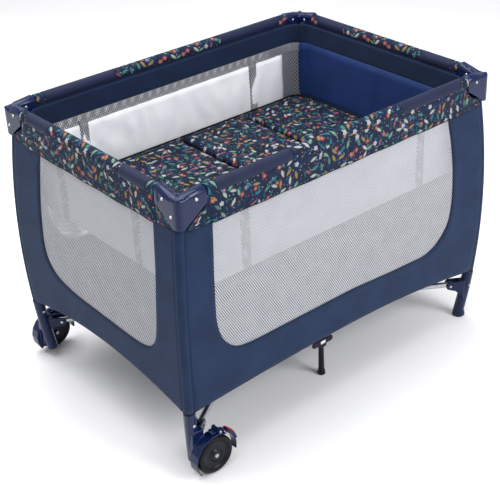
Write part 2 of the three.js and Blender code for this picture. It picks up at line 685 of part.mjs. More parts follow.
// A panel's outline: up one leg, across under the rail, down the other leg and
// back along the arched hem. inset is the distance from the legs' centre lines.
function panelOutline(along, inset, topHalf, hem) {
  const shape = new THREE.Shape();
  const steps = 5;
  const shoulder = CAP_COLUMN_BOTTOM - 4;
  const edge = (z) => legAt(z)[along] - inset;
  shape.moveTo(-edge(hem.left), hem.left);
  for (let i = 1; i <= steps; i += 1) {
    const z = hem.left + (shoulder - hem.left) * i / steps;
    shape.lineTo(-edge(z), z);
  }
  shape.lineTo(-topHalf, shoulder + 1);
  shape.lineTo(-topHalf, PANEL_TOP_Z);
  shape.lineTo(topHalf, PANEL_TOP_Z);
  shape.lineTo(topHalf, shoulder + 1);
  for (let i = steps; i >= 0; i -= 1) {
    const z = hem.right + (shoulder - hem.right) * i / steps;
    shape.lineTo(edge(z), z);
  }
  shape.quadraticCurveTo(edge(hem.right) / 2, hem.middle, 0, hem.middle);
  shape.quadraticCurveTo(-edge(hem.left) / 2, hem.middle, -edge(hem.left), hem.left);
  return shape;
}

function longPanel() {
  const hem = { left: HEM.wheelEnd, middle: HEM.longMiddle, right: HEM.footEnd };
  const sheet = common(
    bowedWall('y', 560),
    plate(panelOutline('x', 6, 468, hem), 'y', 300, 400),
  );
  const section = ringSection(SLEEVE_OUTER, SLEEVE_INNER);
  const sleeve = (top, bottom) => sweep(section, legCurve(top, bottom, SLEEVE_SPANS), SLEEVE_SPANS);
  const top = CAP_COLUMN_BOTTOM - 2;
  const wheelEnd = onCorner(sleeve(top, BRACKET_TOP + 2), { sx: -1, sy: 1 });
  return join(sheet, wheelEnd, sleeve(top, FOOT_TOP + 2));
}

function shortPanel(hemEnd, hemMiddle) {
  const hem = { left: hemEnd, middle: hemMiddle, right: hemEnd };
  return common(
    bowedWall('x', 400),
    plate(panelOutline('y', 17, LEG_TOP.y - 17, hem), 'x', 450, 560),
  );
}

// A rectangle with its corners cut off, each cut taking cutX and cutY.
function cutCornered(halfX, halfY, cutX, cutY) {
  return outline([
    [-halfX + cutX, -halfY], [halfX - cutX, -halfY], [halfX, -halfY + cutY], [halfX, halfY - cutY],
    [halfX - cutX, halfY], [-halfX + cutX, halfY], [-halfX, halfY - cutY], [-halfX, -halfY + cutY],
  ]);
}

function floorPanel() {
  const edgeY = legAt(FLOOR_Z).y + PANEL_OUT - PANEL_WALL - 2;
  const edgeX = legAt(FLOOR_Z).x + PANEL_OUT - PANEL_WALL - 2;
  const sheet = plate(cutCornered(edgeX, edgeY, 50, 40), 'z', FLOOR_Z, FLOOR_Z + FLOOR_WALL);
  return cut(sheet, box([-21, -14, FLOOR_Z - 5], [21, 14, FLOOR_Z + 9]));
}

function bassinet() {
  const { x, y, low, top, wall, chamfer } = BASSINET;
  const outside = plate(cutCornered(x, y, chamfer, chamfer), 'z', low, top);
  const inside = plate(cutCornered(x - wall, y - wall, chamfer, chamfer), 'z', low + wall, top + 1);
  return cut(outside, inside);
}

function mattressPad(number) {
  const { count, length, seam, halfWidth, low, thick } = PAD;
  const whole = count * length + (count - 1) * seam;
  const start = -whole / 2 + (number - 1) * (length + seam);
  const shape = cutCornered(whole / 2, halfWidth, BASSINET.chamfer, BASSINET.chamfer);
  const pad = plate(shape, 'z', low, low + thick);
  return common(pad, box([start, -400, 0], [start + length, 400, 800]));
}

// ---------------------------------------------------------------- assembly

const yard = new THREE.Group();

// Adds one piece. Its geometry is drawn where it lies; the mesh is placed at
// the pivot or centre that the piece moves about.
function add(name, geometry, finish, origin = [0, 0, 0], parent = yard) {
  const surface = closedSurface(geometry).translate(-origin[0], -origin[1], -origin[2]).toNonIndexed();
  surface.computeVertexNormals();
  const mesh = new THREE.Mesh(surface, new THREE.MeshStandardMaterial(finish));
  mesh.name = name;
  mesh.position.set(...origin);
  parent.add(mesh);
}

for (const corner of CORNERS) {
  const post = new THREE.Group();
  const origin = [corner.sx * LEG_TOP.x, corner.sy * LEG_TOP.y, 0];
  const rivetZ = corner.wheeled ? BRACKET_RIVET_Z : FOOT_RIVET_Z;
  add(`leg_tube_${corner.name}`, onCorner(legTube(rivetZ), corner), STEEL, origin, post);
  add(`corner_cap_${corner.name}`, onCorner(cornerCap(), corner), NAVY_GLOSS, origin, post);
  if (corner.wheeled) {
    const side = corner.sy < 0 ? 'near' : 'far';
    const centre = [corner.sx * WHEEL_X, corner.sy * (WHEEL_INNER_Y + WHEEL_OUTER_Y) / 2, WHEEL_RADIUS];
    add(`wheel_bracket_${corner.name}`, onCorner(wheelBracket(), corner), NAVY_GLOSS, origin, post);
    add(`wheel_${side}`, onCorner(wheel(), corner), BLACK_TYRE, centre, post);
    add(`axle_${side}`, onCorner(axle(), corner), STEEL, centre, post);
    add(`brake_lever_${side}`, onCorner(brakeLever(), corner), NAVY_GLOSS, centre, post);
    add(`brake_pin_${side}`, onCorner(brakePin(), corner), STEEL, centre, post);
  } else {
    add(`corner_foot_${corner.name}`, onCorner(cornerFoot(), corner), NAVY_PLASTIC, origin, post);
  }
  yard.add(post);
}

// Long rails lie along X on the front (-Y) and back (+Y) sides.
for (const [side, sy] of [['front', -1], ['back', 1]]) {
  const y = sy * LONG_RAIL_Y;
  for (const [end, sx] of [['left', -1], ['right', 1]]) {
    const rail = halfRail(POST_PIVOT_X).rotateZ(sx < 0 ? Math.PI : 0).translate(0, y, RAIL_Z);
    add(`rail_${side}_${end}`, rail, STEEL, [sx * POST_PIVOT_X, y, RAIL_Z]);
  }
  add(`latch_${side}`, latchHousing().translate(0, y, RAIL_Z), STEEL, [0, y, RAIL_Z]);
  add(`latch_button_${side}`, latchButton().translate(0, y, RAIL_Z), DARK_PLASTIC, [0, y, RAIL_Z]);
  const cover = railCover(CAP_ARM_X - 1, LEG_TOP.x - 2).rotateZ(sy < 0 ? Math.PI : 0).translate(0, y, RAIL_Z);
  add(`rail_cover_${side}`, cover, PATTERNED_FABRIC, [0, y, RAIL_Z]);
  add(`side_panel_${side}`, onCorner(longPanel(), { sx: 1, sy }), NAVY_FABRIC);
}

// Short rails lie along Y on the left (-X) and right (+X) sides.
for (const [side, sx] of [['left', -1], ['right', 1]]) {
  const x = sx * SHORT_RAIL_X;
  for (const [end, sy] of [['near', -1], ['far', 1]]) {
    const rail = halfRail(POST_PIVOT_Y).rotateZ(sy * Math.PI / 2).translate(x, 0, RAIL_Z);
    add(`rail_${side}_${end}`, rail, STEEL, [x, sy * POST_PIVOT_Y, RAIL_Z]);
  }
  add(`latch_${side}`, latchHousing().rotateZ(Math.PI / 2).translate(x, 0, RAIL_Z), STEEL, [x, 0, RAIL_Z]);
  const button = latchButton().rotateZ(Math.PI / 2).translate(x, 0, RAIL_Z);
  add(`latch_button_${side}`, button, DARK_PLASTIC, [x, 0, RAIL_Z]);
  const cover = railCover(CAP_ARM_Y - 1, LEG_TOP.y - 2).rotateZ(-sx * Math.PI / 2).translate(x, 0, RAIL_Z);
  add(`rail_cover_${side}`, cover, PATTERNED_FABRIC, [x, 0, RAIL_Z]);
  const panel = sx < 0 ? shortPanel(HEM.wheelEnd, HEM.shortMiddle) : shortPanel(HEM.footEnd, HEM.longMiddle);
  add(`side_panel_${side}`, onCorner(panel, { sx, sy: 1 }), NAVY_FABRIC);
}

add('base_hub', baseHub(), NAVY_PLASTIC, [0, 0, BASE_Z]);
add('pull_strap', pullStrap(), RED_STRAP, [0, 0, HUB_TOP]);
for (const corner of CORNERS) {
  const foot = [corner.sx * POST_PIVOT_X, corner.sy * POST_PIVOT_Y, BASE_Z];
  add(`base_tube_${corner.name}`, onCorner(baseTube(), corner), STEEL, foot);
}
for (const [side, sy] of [['front', -1], ['back', 1]]) {
  add(`mid_arm_${side}`, midArm(sy), STEEL, [0, sy * MID_HUB_PIVOT_Y, BASE_Z]);
  const foot = onCorner(midFoot(), { sx: 1, sy });
  add(`mid_foot_${side}`, foot, DARK_PLASTIC, [0, sy * MID_FOOT_PIVOT_Y, BASE_Z]);
}

add('floor_panel', floorPanel(), NAVY_FABRIC, [0, 0, FLOOR_Z]);
add('bassinet', bassinet(), WHITE_FABRIC, [0, 0, BASSINET.low]);
for (let number = 1; number <= PAD.count; number += 1) {
  add(`mattress_pad_${number}`, mattressPad(number), PATTERNED_FABRIC);
}

export default yard;
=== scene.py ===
"""Folding travel play yard: looks, camera, floor and light over the CAD frame.

Metres, +Z up, +X along the long sides, origin on the floor under the middle.
The wheeled end is at -X and the front side at -Y.
"""

import json
import math

import bpy
from mathutils import Matrix, Vector, noise


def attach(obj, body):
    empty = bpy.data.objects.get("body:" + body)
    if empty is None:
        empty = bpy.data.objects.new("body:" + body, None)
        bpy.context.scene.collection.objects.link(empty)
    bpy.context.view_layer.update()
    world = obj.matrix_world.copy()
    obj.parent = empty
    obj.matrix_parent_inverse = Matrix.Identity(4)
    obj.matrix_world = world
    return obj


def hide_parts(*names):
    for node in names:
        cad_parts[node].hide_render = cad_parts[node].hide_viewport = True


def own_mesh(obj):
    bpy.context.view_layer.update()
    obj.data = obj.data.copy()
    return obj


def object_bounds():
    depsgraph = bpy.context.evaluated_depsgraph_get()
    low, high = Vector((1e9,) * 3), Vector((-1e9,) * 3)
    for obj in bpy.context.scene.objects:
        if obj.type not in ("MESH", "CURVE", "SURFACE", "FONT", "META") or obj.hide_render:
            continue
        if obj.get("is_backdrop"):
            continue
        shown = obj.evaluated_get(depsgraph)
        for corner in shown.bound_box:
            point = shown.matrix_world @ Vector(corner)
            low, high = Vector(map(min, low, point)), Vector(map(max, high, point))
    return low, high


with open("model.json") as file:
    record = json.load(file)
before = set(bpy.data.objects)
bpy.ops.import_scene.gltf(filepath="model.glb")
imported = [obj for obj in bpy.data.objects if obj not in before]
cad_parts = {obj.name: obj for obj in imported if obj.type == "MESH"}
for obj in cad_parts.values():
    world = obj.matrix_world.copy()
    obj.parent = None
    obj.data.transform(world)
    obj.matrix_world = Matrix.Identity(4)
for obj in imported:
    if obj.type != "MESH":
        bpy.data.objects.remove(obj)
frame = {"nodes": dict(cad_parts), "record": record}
cad_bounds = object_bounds()

X = Vector((1, 0, 0))
Y = Vector((0, 1, 0))
Z = Vector((0, 0, 1))

# ---------------------------------------------------------------- sizes

RAIL_Z = 0.750
LONG_RAIL_Y = 0.353
SHORT_RAIL_X = 0.496
CAP_ARM = {"x": 0.428, "y": 0.283}  # free ends of a corner cap's arms
LEG_TOP = (0.4933, 0.3424)
LEG_SPLAY = (0.0734, 0.0519)
LEG_BOW = (0.0674, 0.0599)
LEG_BEND_Z = 0.690
LEG_BEND_SPAN = 0.600

CLOTH_THICKNESS = 0.0012
THIN_CLOTH = 0.001
SLEEVE_RADIUS = 0.0138
SLEEVE_TOP = 0.688
SLEEVE_WIDTH = 0.087  # cut width, once round the leg
SLEEVE_LOW = {"left": 0.190, "right": 0.157}
PANEL_OUT = 0.0122  # outer face of a side panel, from the leg's centre line
PANEL_TOP = 0.700
BAND_LOW = 0.676  # lower edge of the patterned band
WRAP_RADIUS = 0.0146
WRAP_TOP = RAIL_Z + 0.0195
SKIRT_TOP = RAIL_Z + 0.001
WRAP_SIDE = 0.006  # straight lower part of a rail cover, beside the rail
WRAP_WIDTH = 0.058  # cut width, from one lower edge over the rail to the other
TUCK_LENGTH = 0.020  # over which a skirt's end draws in behind the cap

MATTRESS_LOW = 0.500
MATTRESS_TOP = 0.520
BASSINET = {"x": 0.4785, "y": 0.3357, "low": 0.4975, "top": 0.742, "corner": 0.034}
FLOOR_SHEET_Z = 0.2395
STRIP_EDGE_Y = 0.12  # where the three strips of the floor and the bassinet's base meet

SHRINK_X = 0.2122  # folded share of the length between two posts along X

CAP_DIP = 0.013
CAP_DIP_REACH = 0.036  # length of the dip along each arm
CAP_CROWN = 0.006  # how far the top of a cap falls away at its sides
CAP_HALF_WIDTH = 0.015
WHEEL_CENTRE = (-0.462, 0.369, 0.0517)
WHEEL_RADIUS = 0.0516


def leg_at(z):
    """Centre of the leg in the (+X, +Y) corner at a height, as (x, y)."""
    drop = max(0.0, (LEG_BEND_Z - z) / LEG_BEND_SPAN)
    return tuple(
        top + splay * drop - bow * drop * drop
        for top, splay, bow in zip(LEG_TOP, LEG_SPLAY, LEG_BOW)
    )


# ---------------------------------------------------------------- materials


def linear(colour):
    """A web colour such as "1c3470" as linear RGBA."""
    parts = [int(colour[i : i + 2], 16) / 255 for i in (0, 2, 4)]
    return tuple(((c + 0.055) / 1.055) ** 2.4 if c > 0.04045 else c / 12.92 for c in parts) + (1.0,)


class Shader:
    """A node material with short calls for the nodes it needs."""

    def __init__(self, name):
        self.material = bpy.data.materials.new(name)
        self.material.use_nodes = True
        self.nodes = self.material.node_tree.nodes
        self.links = self.material.node_tree.links
        self.surface = self.nodes["Principled BSDF"]

    def feed(self, socket, value):
        if isinstance(value, bpy.types.NodeSocket):
            self.links.new(value, socket)
        else:
            socket.default_value = value

    def node(self, kind, inputs=None, **settings):
        made = self.nodes.new(kind)
        for key, value in settings.items():
            setattr(made, key, value)
        for key, value in (inputs or {}).items():
            self.feed(made.inputs[key], value)
        return made

    def math(self, operation, *values):
        inputs = dict(enumerate(values))
        return self.node("ShaderNodeMath", inputs, operation=operation).outputs[0]

    def mix(self, factor, first, second):
        inputs = {0: factor, 6: first, 7: second}
        return self.node("ShaderNodeMix", inputs, data_type="RGBA").outputs[2]

    def noise(self, vector, scale, detail=2.0):
        inputs = {"Vector": vector, "Scale": scale, "Detail": detail}
        return self.node("ShaderNodeTexNoise", inputs).outputs["Fac"]

    def ramp(self, value, low, high):
        """0 below low, 1 above high and smooth between."""
        inputs = {"Value": value, "From Min": low, "From Max": high}
        return self.node("ShaderNodeMapRange", inputs, interpolation_type="SMOOTHSTEP").outputs[0]

    def uv(self):
        return self.node("ShaderNodeTexCoord").outputs["UV"]

    def place(self):
        return self.node("ShaderNodeTexCoord").outputs["Object"]

    def split(self, vector):
        parts = self.node("ShaderNodeSeparateXYZ", {0: vector})
        return parts.outputs["X"], parts.outputs["Y"], parts.outputs["Z"]

    def bump(self, height, distance, strength=1.0):
        inputs = {"Height": height, "Distance": distance, "Strength": strength}
        self.feed(self.surface.inputs["Normal"], self.node("ShaderNodeBump", inputs).outputs[0])

    def look(self, **inputs):
        for key, value in inputs.items():
            self.feed(self.surface.inputs[key.replace("_", " ")], value)
        return self.material


def weave(shader, vector, pitch):
    """Height of a plain weave: crossed threads that go over and under."""
    across, along, _ = shader.split(vector)
    turn = 2 * math.pi / pitch
    first = shader.math("SINE", shader.math("MULTIPLY", across, turn))
    second = shader.math("SINE", shader.math("MULTIPLY", along, turn))
    return shader.math("MULTIPLY", first, second)


def cloth(name, colour, light, roughness=0.78, pitch=0.0011, sheen=0.04):
    """Plain woven cloth with a little unevenness in its dye and its surface."""
    shader = Shader(name)
    vector = shader.uv()
    patches = shader.ramp(shader.noise(vector, 14, 3.0), 0.3, 0.7)
    threads = shader.noise(vector, 900, 1.0)
    cloudy = shader.math("MULTIPLY", patches, 0.55)
    tone = shader.math("ADD", cloudy, shader.math("MULTIPLY", threads, 0.35))
    threads_height = weave(shader, vector, pitch)
    height = shader.math("ADD", threads_height, shader.math("MULTIPLY", shader.noise(vector, 60), 1.6))
    shader.bump(height, 0.0002, 0.55)
    return shader.look(
        Base_Color=shader.mix(tone, linear(colour), linear(light)),
        Roughness=roughness,
        Specular_IOR_Level=0.2,
        Sheen_Weight=sheen,
        Sheen_Roughness=0.5,
    )


def mesh_cloth(name, colour, pitch=0.0052, hole=0.42):
    """Knitted mesh: rows of round holes, each row shifted by half a step."""
    shader = Shader(name)
    across, along, _ = shader.split(shader.uv())
    turn = 2 * math.pi / pitch
    first = shader.math("COSINE", shader.math("MULTIPLY", across, turn))
    second = shader.math("COSINE", shader.math("MULTIPLY", along, turn * 0.6))
    cells = shader.math("MULTIPLY", first, second)
    solid = shader.math("SUBTRACT", 1.0, shader.ramp(cells, 0.52 - hole, 0.62 - hole * 0.5))
    shader.bump(cells, 0.0004, 0.4)
    dark = tuple(c * 0.8 for c in linear(colour)[:3]) + (1.0,)
    tone = shader.noise(shader.uv(), 20, 3.0)
    return shader.look(
        Base_Color=shader.mix(tone, dark, linear(colour)),
        Roughness=0.75,
        Specular_IOR_Level=0.2,
        Alpha=solid,
    )


class Scatter:
    """One motif per cell of a jittered grid, turned at random."""

    def __init__(self, shader, vector, cell, shift):
        inputs = {0: vector, 1: (1 / cell,) * 3, 2: (shift, shift * 1.7, 0.0)}
        scaled = shader.node("ShaderNodeVectorMath", inputs, operation="MULTIPLY_ADD").outputs[0]
        inputs = {"Vector": scaled, "Scale": 1.0, "Randomness": 0.62}
        cells = shader.node("ShaderNodeTexVoronoi", inputs, voronoi_dimensions="2D")
        inputs = {0: scaled, 1: cells.outputs["Position"]}
        offset = shader.node("ShaderNodeVectorMath", inputs, operation="SUBTRACT")
        self.shader = shader
        turn, self.pick, self.odds = shader.split(cells.outputs["Color"])
        angle = shader.math("MULTIPLY", turn, 2 * math.pi)
        inputs = {"Vector": offset.outputs[0], "Angle": angle}
        turned = shader.node("ShaderNodeVectorRotate", inputs, rotation_type="Z_AXIS").outputs[0]
        self.x, self.y, _ = shader.split(turned)

    def inside(self, value, edge=0.02):
        """1 where value is above 0, with a soft edge."""
        return self.shader.ramp(value, -edge, edge)

    def present(self, low, high):
        """1 in the cells whose lot lies between low and high."""
        over = self.shader.math("GREATER_THAN", self.odds, low)
        under = self.shader.math("LESS_THAN", self.odds, high)
        return self.shader.math("MULTIPLY", over, under)

    def radius(self):
        """Distance from the middle of the cell's motif."""
        across = self.shader.math("MULTIPLY", self.x, self.x)
        square = self.shader.math("ADD", across, self.shader.math("MULTIPLY", self.y, self.y))
        return self.shader.math("SQRT", square)

    def flower(self, size, petals=5):
        shader = self.shader
        angle = shader.math("ARCTAN2", self.y, self.x)
        turns = shader.math("MULTIPLY", angle, petals / 2)
        wave = shader.math("ABSOLUTE", shader.math("COSINE", turns))
        rim = shader.math("MULTIPLY_ADD", wave, size * 0.5, size * 0.5)
        return self.inside(shader.math("SUBTRACT", rim, self.radius()))

    def dot(self, size):
        return self.inside(self.shader.math("SUBTRACT", size, self.radius()))

    def sprig(self, length, width, leaves):
        """Paired leaflets along a stem."""
        shader = self.shader
        side = shader.math("ABSOLUTE", self.x)
        lean = shader.math("SUBTRACT", self.y, shader.math("MULTIPLY", side, 0.9))
        lobes = shader.math("ABSOLUTE", shader.math("SINE", shader.math("MULTIPLY", lean, leaves)))
        share = shader.math("DIVIDE", self.y, length)
        taper = shader.math("SUBTRACT", 1.0, shader.math("MULTIPLY", share, share))
        reach = shader.math("MULTIPLY", shader.math("MULTIPLY", lobes, width), taper)
        return self.inside(shader.math("SUBTRACT", reach, side), 0.015)

    def leaf(self, length, width):
        shader = self.shader
        share = shader.math("DIVIDE", self.y, length)
        taper = shader.math("SUBTRACT", 1.0, shader.math("MULTIPLY", share, share))
        reach = shader.math("MULTIPLY", taper, width)
        return self.inside(shader.math("SUBTRACT", reach, shader.math("ABSOLUTE", self.x)))

    def palette(self, *colours):
        """One of the colours for each cell."""
        ramp = self.shader.node("ShaderNodeValToRGB", {"Fac": self.pick})
        ramp.color_ramp.interpolation = "CONSTANT"
        stops = ramp.color_ramp.elements
        while len(stops) < len(colours):
            stops.new(0.5)
        for index, colour in enumerate(colours):
            stops[index].position = index / len(colours)
            stops[index].color = linear(colour)
        return ramp.outputs["Color"]


def print_cloth(name, ground="0b1730", roughness=0.7, flat=False):
    """Dark cloth printed with small flowers, sprigs, leaves and buds."""
    shader = Shader(name)
    vector = shader.place() if flat else shader.uv()
    patches = shader.ramp(shader.noise(vector, 25), 0.35, 0.65)
    colour = shader.mix(patches, linear(ground), linear("101f3e"))

    leaves = Scatter(shader, vector, 0.018, 3.1)
    mask = shader.math("MULTIPLY", leaves.leaf(0.38, 0.12), leaves.present(0.1, 1.0))
    colour = shader.mix(mask, colour, leaves.palette("0f4350", "0d3247", "155a60", "132b45", "1c6670"))

    buds = Scatter(shader, vector, 0.0105, 7.7)
    mask = shader.math("MULTIPLY", buds.dot(0.15), buds.present(0.5, 1.0))
    tones = buds.palette("aeb4c6", "8e4c58", "50718a", "7d72a2", "9c7a42", "3f7c78")
    colour = shader.mix(mask, colour, tones)

    sprigs = Scatter(shader, vector, 0.024, 11.3)
    mask = shader.math("MULTIPLY", sprigs.sprig(0.46, 0.20, 26), sprigs.present(0.2, 1.0))
    tones = sprigs.palette("7da98f", "a5843c", "2a7c83", "c2c6bc", "4f8a6e", "8f5560")
    colour = shader.mix(mask, colour, tones)

    flowers = Scatter(shader, vector, 0.032, 17.9)
    shown = flowers.present(0.5, 1.0)
    mask = shader.math("MULTIPLY", flowers.flower(0.21), shown)
    colour = shader.mix(mask, colour, flowers.palette("a8444e", "b9bfcd", "9a3d4a", "6f6a98", "b2665c"))
    mask = shader.math("MULTIPLY", flowers.dot(0.06), shown)
    colour = shader.mix(mask, colour, linear("c8a458"))
    wear = shader.math("MULTIPLY_ADD", shader.noise(vector, 90, 3.0), 0.35, 0.12)
    colour = shader.mix(wear, colour, linear(ground))

    shader.bump(weave(shader, vector, 0.0011), 0.0002, 0.4)
    return shader.look(Base_Color=colour, Roughness=roughness, Specular_IOR_Level=0.2)


def moulding(name, colour, roughness, coat=0.0, grain=0.00004):
    """Moulded plastic: fine grain, and gloss that varies a little."""
    shader = Shader(name)
    vector = shader.place()
    patches = shader.noise(vector, 35, 3.0)
    grains = shader.noise(vector, 1400, 1.0)
    shader.bump(grains, grain, 0.5)
    dark = tuple(c * 0.8 for c in linear(colour)[:3]) + (1.0,)
    return shader.look(
        Base_Color=shader.mix(patches, dark, linear(colour)),
        Roughness=shader.math("MULTIPLY_ADD", patches, 0.14, roughness - 0.07),
        Specular_IOR_Level=0.2,
        Coat_Weight=coat,
        Coat_Roughness=0.1,
    )


def steel(name, colour="c9ccd2"):
    """Plated steel tube with faint drawn lines."""
    shader = Shader(name)
    vector = shader.place()
    cloud = shader.noise(vector, 60, 4.0)
    shader.bump(shader.noise(vector, 700, 1.0), 0.00005, 0.4)
    return shader.look(
        Base_Color=shader.mix(cloud, linear("9da2aa"), linear(colour)),
        Metallic=1.0,
        Roughness=shader.math("MULTIPLY_ADD", cloud, 0.2, 0.2),
    )


def paper_floor(name):
    shader = Shader(name)
    vector = shader.place()
    tone = shader.noise(vector, 3, 2.0)
    shader.bump(shader.noise(vector, 400, 1.0), 0.0002, 0.2)
    return shader.look(Base_Color=shader.mix(tone, linear("f4f4f6"), linear("fafafc")), Roughness=0.6)


NAVY = cloth("navy_cloth", "122340", "192f50")
NAVY_DEEP = cloth("navy_cloth_deep", "0d1b36", "132645")
NAVY_PAD = cloth("navy_padded_cloth", "0f1834", "152040", roughness=0.5, sheen=0.02)
NAVY_BLUE = cloth("navy_lining", "11295a", "16346c", roughness=0.5)
BINDING = cloth("navy_binding", "0a1229", "101c3c", roughness=0.6, pitch=0.002)
BLACK_PIPING = cloth("black_piping", "050609", "0d0f14", roughness=0.6, pitch=0.002)
PRINT = print_cloth("floral_print")
MATTRESS_PRINT = print_cloth("floral_print_mattress", "0a1224", 0.8, flat=True)
WHITE = cloth("white_cloth", "e2e3ea", "f4f5f9", roughness=0.8)
GREY_MESH = mesh_cloth("grey_mesh", "b9bbc1", pitch=0.0060, hole=0.40)
DARK_MESH = mesh_cloth("dark_mesh_strap", "85878e", pitch=0.0075, hole=0.3)
RED = cloth("red_webbing", "8e1620", "b3222c", pitch=0.003)
NAVY_GLOSS = moulding("navy_gloss_plastic", "0b1c46", 0.2, coat=0.2)
NAVY_SATIN = moulding("navy_satin_plastic", "122244", 0.38, coat=0.1)
DARK_PLASTIC = moulding("dark_plastic", "0a0c1c", 0.35, coat=0.1)
BLACK_RUBBER = moulding("dark_tyre", "0b0c10", 0.5, grain=0.0001)
RED_PLASTIC = moulding("red_plastic", "b5232b", 0.35)
LABEL = moulding("blank_label", "eceef2", 0.5)
STEEL = steel("plated_steel")
FLOOR_PAPER = paper_floor("studio_floor")

# ---------------------------------------------------------------- mesh tools


def mesh_object(name, points, faces, uvs, material):
    """A mesh whose uvs list gives one (u, v) in metres for each point."""
    mesh = bpy.data.meshes.new(name)
    mesh.from_pydata([tuple(p) for p in points], [], faces)
    layer = mesh.uv_layers.new(name="UVMap")
    for loop in mesh.loops:
        layer.data[loop.index].uv = uvs[loop.vertex_index]
    for polygon in mesh.polygons:
        polygon.use_smooth = True
    mesh.materials.append(material)
    piece = bpy.data.objects.new(name, mesh)
    bpy.context.scene.collection.objects.link(piece)
    return piece


def grid(name, place, across, along, material, size, closed=False):
    """A surface through place(s, t), s and t from 0 to 1. size is its width and height."""
    columns = across if closed else across + 1
    points = []
    uvs = []
    for row in range(along + 1):
        for column in range(columns):
            s = column / across
            t = row / along
            points.append(place(s, t))
            uvs.append((s * size[0], t * size[1]))
    faces = []
    for row in range(along):
        for column in range(across):
            after = (column + 1) % columns
            first = row * columns
            second = first + columns
            faces.append((first + column, first + after, second + after, second + column))
    return mesh_object(name, points, faces, uvs, material)


def ring_faces(rings, count, closed=False):
    """Faces between rings of count points each; closed joins the last ring to the first."""
    faces = []
    for ring in range(rings if closed else rings - 1):
        low = ring * count
        high = (ring + 1) % rings * count
        for index in range(count):
            after = (index + 1) % count
            faces.append((low + index, low + after, high + after, high + index))
    return faces


def tube(name, path, radius, material, up, closed=False):
    """A round cord or tube along a path; up is never along the path."""
    sides = 8
    count = len(path)
    points = []
    uvs = []
    run = 0.0
    for index, point in enumerate(path):
        before = path[index - 1] if closed or index > 0 else point
        after = path[(index + 1) % count] if closed or index < count - 1 else point
        ahead = (after - before).normalized()
        side = ahead.cross(up).normalized()
        lift = side.cross(ahead)
        if index:
            run += (point - path[index - 1]).length
        for corner in range(sides):
            angle = 2 * math.pi * corner / sides
            points.append(point + radius * (math.cos(angle) * side + math.sin(angle) * lift))
            uvs.append((run, radius * angle))
    faces = ring_faces(count, sides, closed)
    if not closed:
        faces.append(tuple(range(sides))[::-1])
        faces.append(tuple((count - 1) * sides + k for k in range(sides)))
    return mesh_object(name, points, faces, uvs, material)


def lathe(name, profile, centre, axis, material):
    """A turned piece: profile lists (radius, distance along the axis)."""
    sides = 64
    turn = Z.rotation_difference(axis)
    points = []
    uvs = []
    for radius, along in profile:
        for corner in range(sides):
            angle = 2 * math.pi * corner / sides
            spot = Vector((radius * math.cos(angle), radius * math.sin(angle), along))
            points.append(Vector(centre) + turn @ spot)
            uvs.append((angle * 0.05, radius + along))
    faces = ring_faces(len(profile), sides)
    return mesh_object(name, points, faces, uvs, material)


def smooth_loop(points, step=0.012, rounds=5):
    """Closed curve near (a, z) corners: walked in equal steps, then eased."""
    loop = []
    for index, corner in enumerate(points):
        start, end = Vector(points[index - 1]), Vector(corner)
        count = max(1, round((end - start).length / step))
        loop += [start.lerp(end, k / count) for k in range(count)]
    for _ in range(rounds):
        count = len(loop)
        loop = [(loop[k - 1] + 2 * loop[k] + loop[(k + 1) % count]) / 4 for k in range(count)]
    return loop


def thicken(piece, thickness, offset):
    skin = piece.modifiers.new("thickness", "SOLIDIFY")
    skin.thickness = thickness
    skin.offset = offset
    return piece


def apply_modifiers(piece):
    """Turns the piece's modifiers into its mesh."""
    graph = bpy.context.evaluated_depsgraph_get()
    made = bpy.data.meshes.new_from_object(piece.evaluated_get(graph))
    piece.modifiers.clear()
    piece.data = made
    return piece


def inflate(piece, cap, low, high):
    """Swells a padded cover with a cloth simulation. No point moves further than cap
    before the last smoothing."""
    remesh = piece.modifiers.new("remesh", "REMESH")
    remesh.mode = "VOXEL"
    remesh.voxel_size = 0.006
    apply_modifiers(piece)
    before = [vertex.co.copy() for vertex in piece.data.vertices]
    cover = piece.modifiers.new("cover", "CLOTH")
    cover.settings.use_pressure = True
    cover.settings.uniform_pressure_force = 4.0
    cover.settings.effector_weights.gravity = 0.0
    cover.settings.quality = 4
    for frame_number in range(1, 13):
        bpy.context.scene.frame_set(frame_number)
    graph = bpy.context.evaluated_depsgraph_get()
    after = [vertex.co.copy() for vertex in piece.evaluated_get(graph).data.vertices]
    piece.modifiers.clear()
    bpy.context.scene.frame_set(1)
    drift = sum((new - old for old, new in zip(before, after)), Vector()) / len(before)
    for vertex, old, new in zip(piece.data.vertices, before, after):
        step = new - old - drift
        if step.length > cap:
            step *= cap / step.length
        spot = old + step
        spot.z = min(high, max(low, spot.z))
        vertex.co = spot
    relax = piece.modifiers.new("relax", "SMOOTH")
    relax.factor = 0.5
    relax.iterations = 3
    apply_modifiers(piece)
    piece.data.shade_smooth()


def body_holding(node):
    """The name of the body that a CAD node belongs to."""
    for body, nodes in frame["record"]["behaviour"]["bodies"].items():
        if node in nodes:
            return body
    raise ValueError(node)


def smoothstep(value):
    """0 at 0, 1 at 1 and smooth between."""
    value = min(1.0, max(0.0, value))
    return value * value * (3 - 2 * value)


# ---------------------------------------------------------------- sides


